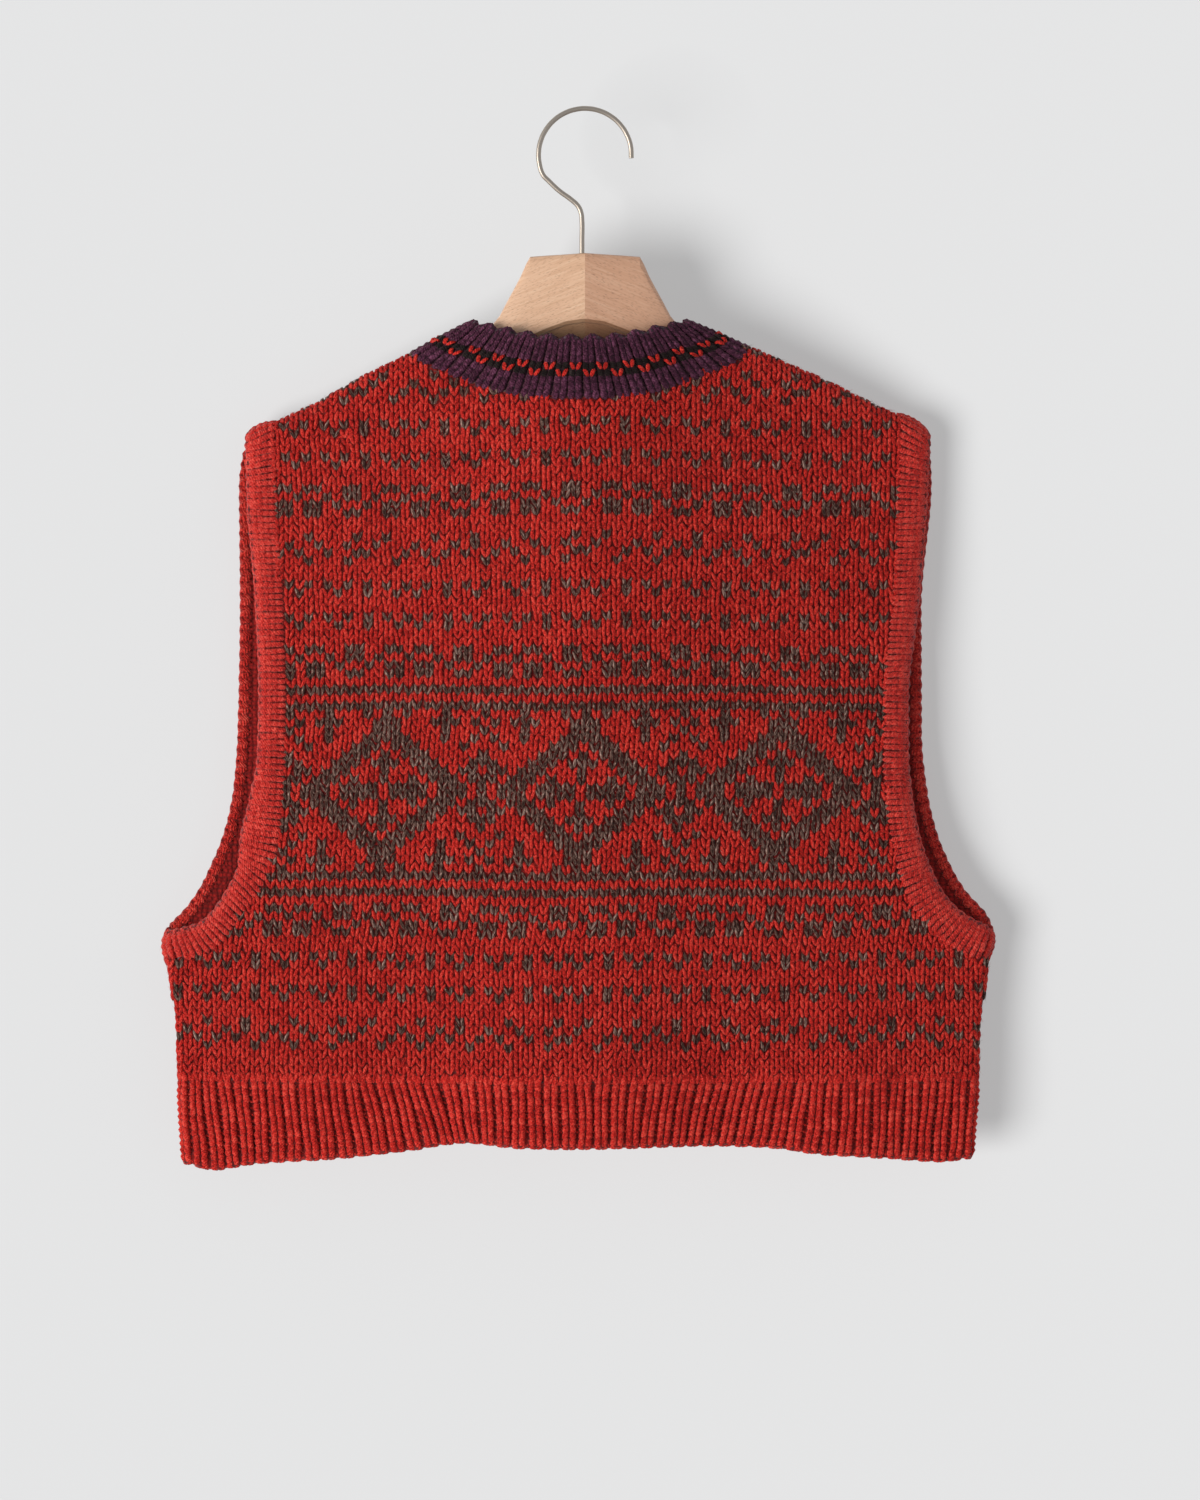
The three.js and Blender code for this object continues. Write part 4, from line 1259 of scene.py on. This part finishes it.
def hangerPiece():
    stops = [-x for x in hanger["tip"]] + list(range(-176, -66, 10)) + [-62]
    stops += [-x for x in hanger["x"][:0:-1]] + [-6]
    stops = sorted(stops + [-x for x in stops] + [0])
    bpy.ops.mesh.primitive_plane_add(size=1, location=(0, 0, 0), rotation=(0, math.pi / 2, 0))
    wood = bpy.context.active_object
    wood.name = "hangerWood"
    bpy.ops.object.transform_apply(location=True, rotation=True, scale=True)
    bpy.ops.object.mode_set(mode="EDIT")
    bpy.ops.mesh.select_all(action="SELECT")
    now = None
    for x in stops:
        top, under, half, middle = hangerSection(x)
        end = hanger["tip"].get(abs(x), 1.0)
        wide, high = 2 * half * end, (top - under) * end
        centre = (top + under) / 2
        if now is None:
            bpy.ops.transform.resize(value=(1, wide * mm, high * mm))
            bpy.ops.mesh.bevel(offset=hanger["tipBevel"] * mm, segments=4, affect="VERTICES")
            bpy.ops.transform.translate(value=(x * mm, middle * mm, centre * mm))
        else:
            bpy.ops.mesh.extrude_region_move(TRANSFORM_OT_translate={"value": (
                (x - now[4]) * mm, (middle - now[2]) * mm, (centre - now[3]) * mm)})
            bpy.ops.transform.resize(value=(1, wide / now[0], high / now[1]),
                                     center_override=(x * mm, middle * mm, centre * mm))
        now = [wide, high, middle, centre, x]
    # the arch under the head is cut on a slope: its far edge hangs lower than its near one
    coveAt = np.array(hanger["cove"])
    for x in [x for x in stops if abs(x) < 40]:
        top, under, half, middle = hangerSection(x)
        bpy.ops.mesh.select_all(action="DESELECT")
        bpy.ops.object.mode_set(mode="OBJECT")
        for vertex in wood.data.vertices:
            px, py, pz = (c / mm for c in vertex.co)
            vertex.select = abs(px - x) < 0.01 and py > middle + 1 and pz < under + 3
        bpy.ops.object.mode_set(mode="EDIT")
        drop = float(np.interp(abs(x), coveAt[:, 0], coveAt[:, 1]))
        bpy.ops.transform.translate(value=(0, 0, -drop * mm))
    bpy.ops.mesh.select_all(action="SELECT")
    bpy.ops.mesh.normals_make_consistent(inside=False)
    bpy.ops.object.mode_set(mode="OBJECT")
    bpy.ops.object.shade_smooth_by_angle(angle=math.radians(14))
    return wood


beechLook = {
    "fall": -21,                                # degrees that the grain falls away from the joint
    "stretch": (0.7, 1.0, 14.0),
    "grain": [(0.32, "#D0A583"), (0.5, "#DBB08F"), (0.68, "#E2BC9B")],
    "fleckSize": (0.0038, 0.003, 0.00042),      # metres along, through and across the grain
    "fleck": [(0.12, "#6A3820"), (0.3, "#FFFFFF")],
    "fleckShare": 0.6,
    "rightHalf": "#F9EEEC",                     # a board of its own, and a painted shade deeper, as on the half turned from the light
    "archShade": "#BDB5AA",                          # painted shade under the arch, where the neck band shades it
}


def beechMaterial(name, archShade):
    # beech, planed and lacquered thin: two halves joined at the ridge, so that the grain and its
    # short dark flecks fall away to both sides
    material, tree = newMaterial(name)
    place = addNode(tree, "TexCoord").outputs["Object"]
    parts = addNode(tree, "SeparateXYZ", links={0: place})
    away = addNode(tree, "Math", {"operation": "ABSOLUTE"}, {0: parts.outputs[0]}).outputs[0]
    mirrored = addNode(tree, "CombineXYZ", links={
        0: away, 1: parts.outputs[1], 2: parts.outputs[2]}).outputs[0]
    right = addNode(tree, "Math", {"operation": "GREATER_THAN", 1: 0.0},
                    {0: parts.outputs[0]}).outputs[0]
    shift = addNode(tree, "CombineXYZ", links={1: right}).outputs[0]
    spot = addNode(tree, "VectorMath", {"operation": "ADD"}, {0: mirrored, 1: shift}).outputs[0]
    turned = addNode(tree, "Mapping", {"Rotation": (0, math.radians(beechLook["fall"]), 0)},
                     {"Vector": spot}).outputs[0]
    grainWay = addNode(tree, "Mapping", {"Scale": beechLook["stretch"]}, {"Vector": turned})
    grain = addNode(tree, "TexNoise", {
        "Scale": 70.0, "Detail": 5.0, "Roughness": 0.6},
        {"Vector": grainWay.outputs[0]}).outputs["Fac"]
    fleckWay = addNode(tree, "Mapping", {
        "Scale": tuple(1 / size for size in beechLook["fleckSize"])}, {"Vector": turned})
    fleck = addNode(tree, "TexVoronoi", {"Scale": 1.0, "Randomness": 1.0},
                    {"Vector": fleckWay.outputs[0]}).outputs["Distance"]
    base = rampOf(tree, grain, beechLook["grain"])
    dark = rampOf(tree, fleck, beechLook["fleck"])
    # the dark flecks, then painted shade on the right half, then where asked painted shade under the arch
    shades = [
        ({0: beechLook["fleckShare"]}, {7: dark}),
        ({7: linearOf(beechLook["rightHalf"])}, {0: right}),
    ]
    # painted shade laid over the whole material, for the faces under the arch
    if archShade:
        shades.append(({0: 1.0, 7: linearOf(beechLook["archShade"])}, {}))
    colour = base
    for values, links in shades:
        colour = addNode(tree, "Mix", {"data_type": "RGBA", "blend_type": "MULTIPLY", **values},
                         {6: colour, **links}).outputs[2]
    bump = addNode(tree, "Bump", {"Strength": 0.12, "Distance": 0.0003},
                   {"Height": grain}).outputs["Normal"]
    wood = addNode(tree, "BsdfPrincipled", {
        "Roughness": 0.5, "IOR": 1.5, "Coat Weight": 0.1, "Coat Roughness": 0.35},
        {"Base Color": colour, "Normal": bump})
    finishMaterial(tree, wood)
    return material


def steelMaterial():
    # nickel-plated steel wire: bright, drawn lengthwise, faintly warm
    material, tree = newMaterial("nickel-plated steel")
    place = addNode(tree, "TexCoord").outputs["Object"]
    draw = addNode(tree, "TexNoise", {"Scale": 900.0, "Detail": 2.0},
                   {"Vector": place}).outputs["Fac"]
    rough = addNode(tree, "MapRange", {3: 0.34, 4: 0.5}, {0: draw}).outputs[0]
    steel = addNode(tree, "BsdfPrincipled", {
        "Base Color": linearOf("#AFA59A"), "Metallic": 1.0}, {"Roughness": rough})
    finishMaterial(tree, steel)
    return material


beech = beechMaterial("lacquered beech", False)
archShadeBeech = beechMaterial("beech, painted shade under the arch", True)
steel = steelMaterial()
wood = hangerPiece()
wood.data.materials.append(beech)
wood.data.materials.append(archShadeBeech)
# the faces under the arch that look down get the beech with painted shade
for face in wood.data.polygons:
    if abs(face.center.x) < 41 * mm and face.normal.z < -0.35:
        face.material_index = 1
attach(wood, "root")
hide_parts("hanger_wood")
bpy.ops.object.select_all(action="DESELECT")

hook = {
    "wire": 1.55,
    "ring": 28.8,
    "round": (-4, 207, 15),     # degrees of the ring, from its open end, and the step
    "bend": [(-22.9, -43), (-16, -49.5), (-8.5, -55), (-4.3, -59), (-2.5, -63)],
    "stem": -1.9,
    "stemStops": [-68, -80, -105.3],    # the last is deep in the wood
}


def hookPiece():
    # a bezier line bent through listed points, given its thickness and made a mesh
    centre = hook["wire"] - hook["ring"]
    spots = []
    for turn in range(*hook["round"]):
        angle = math.radians(turn)
        spots.append((hook["ring"] * math.cos(angle), centre + hook["ring"] * math.sin(angle)))
    spots += hook["bend"] + [(hook["stem"], z) for z in hook["stemStops"]]
    bpy.ops.curve.primitive_bezier_curve_add(location=(0, 0, 0))
    line = bpy.context.active_object
    line.name = "hangerHook"
    bpy.ops.object.mode_set(mode="OBJECT")
    spline = line.data.splines[0]
    spline.bezier_points.add(len(spots) - 2)
    for point, (x, z) in zip(spline.bezier_points, spots):
        point.co = (x * mm, 0, z * mm)
        point.handle_left_type = "AUTO"
        point.handle_right_type = "AUTO"
    spline.resolution_u = 6
    line.data.dimensions = "3D"
    line.data.bevel_depth = hook["wire"] * mm
    line.data.bevel_resolution = 4
    line.data.use_fill_caps = True
    bpy.ops.object.convert(target="MESH")
    bpy.ops.object.shade_smooth_by_angle(angle=math.radians(50))
    return line


wire = hookPiece()
wire.data.materials.clear()
wire.data.materials.append(steel)
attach(wire, "root")
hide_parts("hanger_hook")
print("hanger made")

total = 0
for piece in bpy.data.objects:
    if piece.type == "MESH" and not piece.hide_render and len(piece.data.polygons) > 2:
        count = sum(len(f.vertices) - 2 for f in piece.data.polygons)
        total += count
        print(piece.name, count, "triangles")
print("in all", total, "triangles")

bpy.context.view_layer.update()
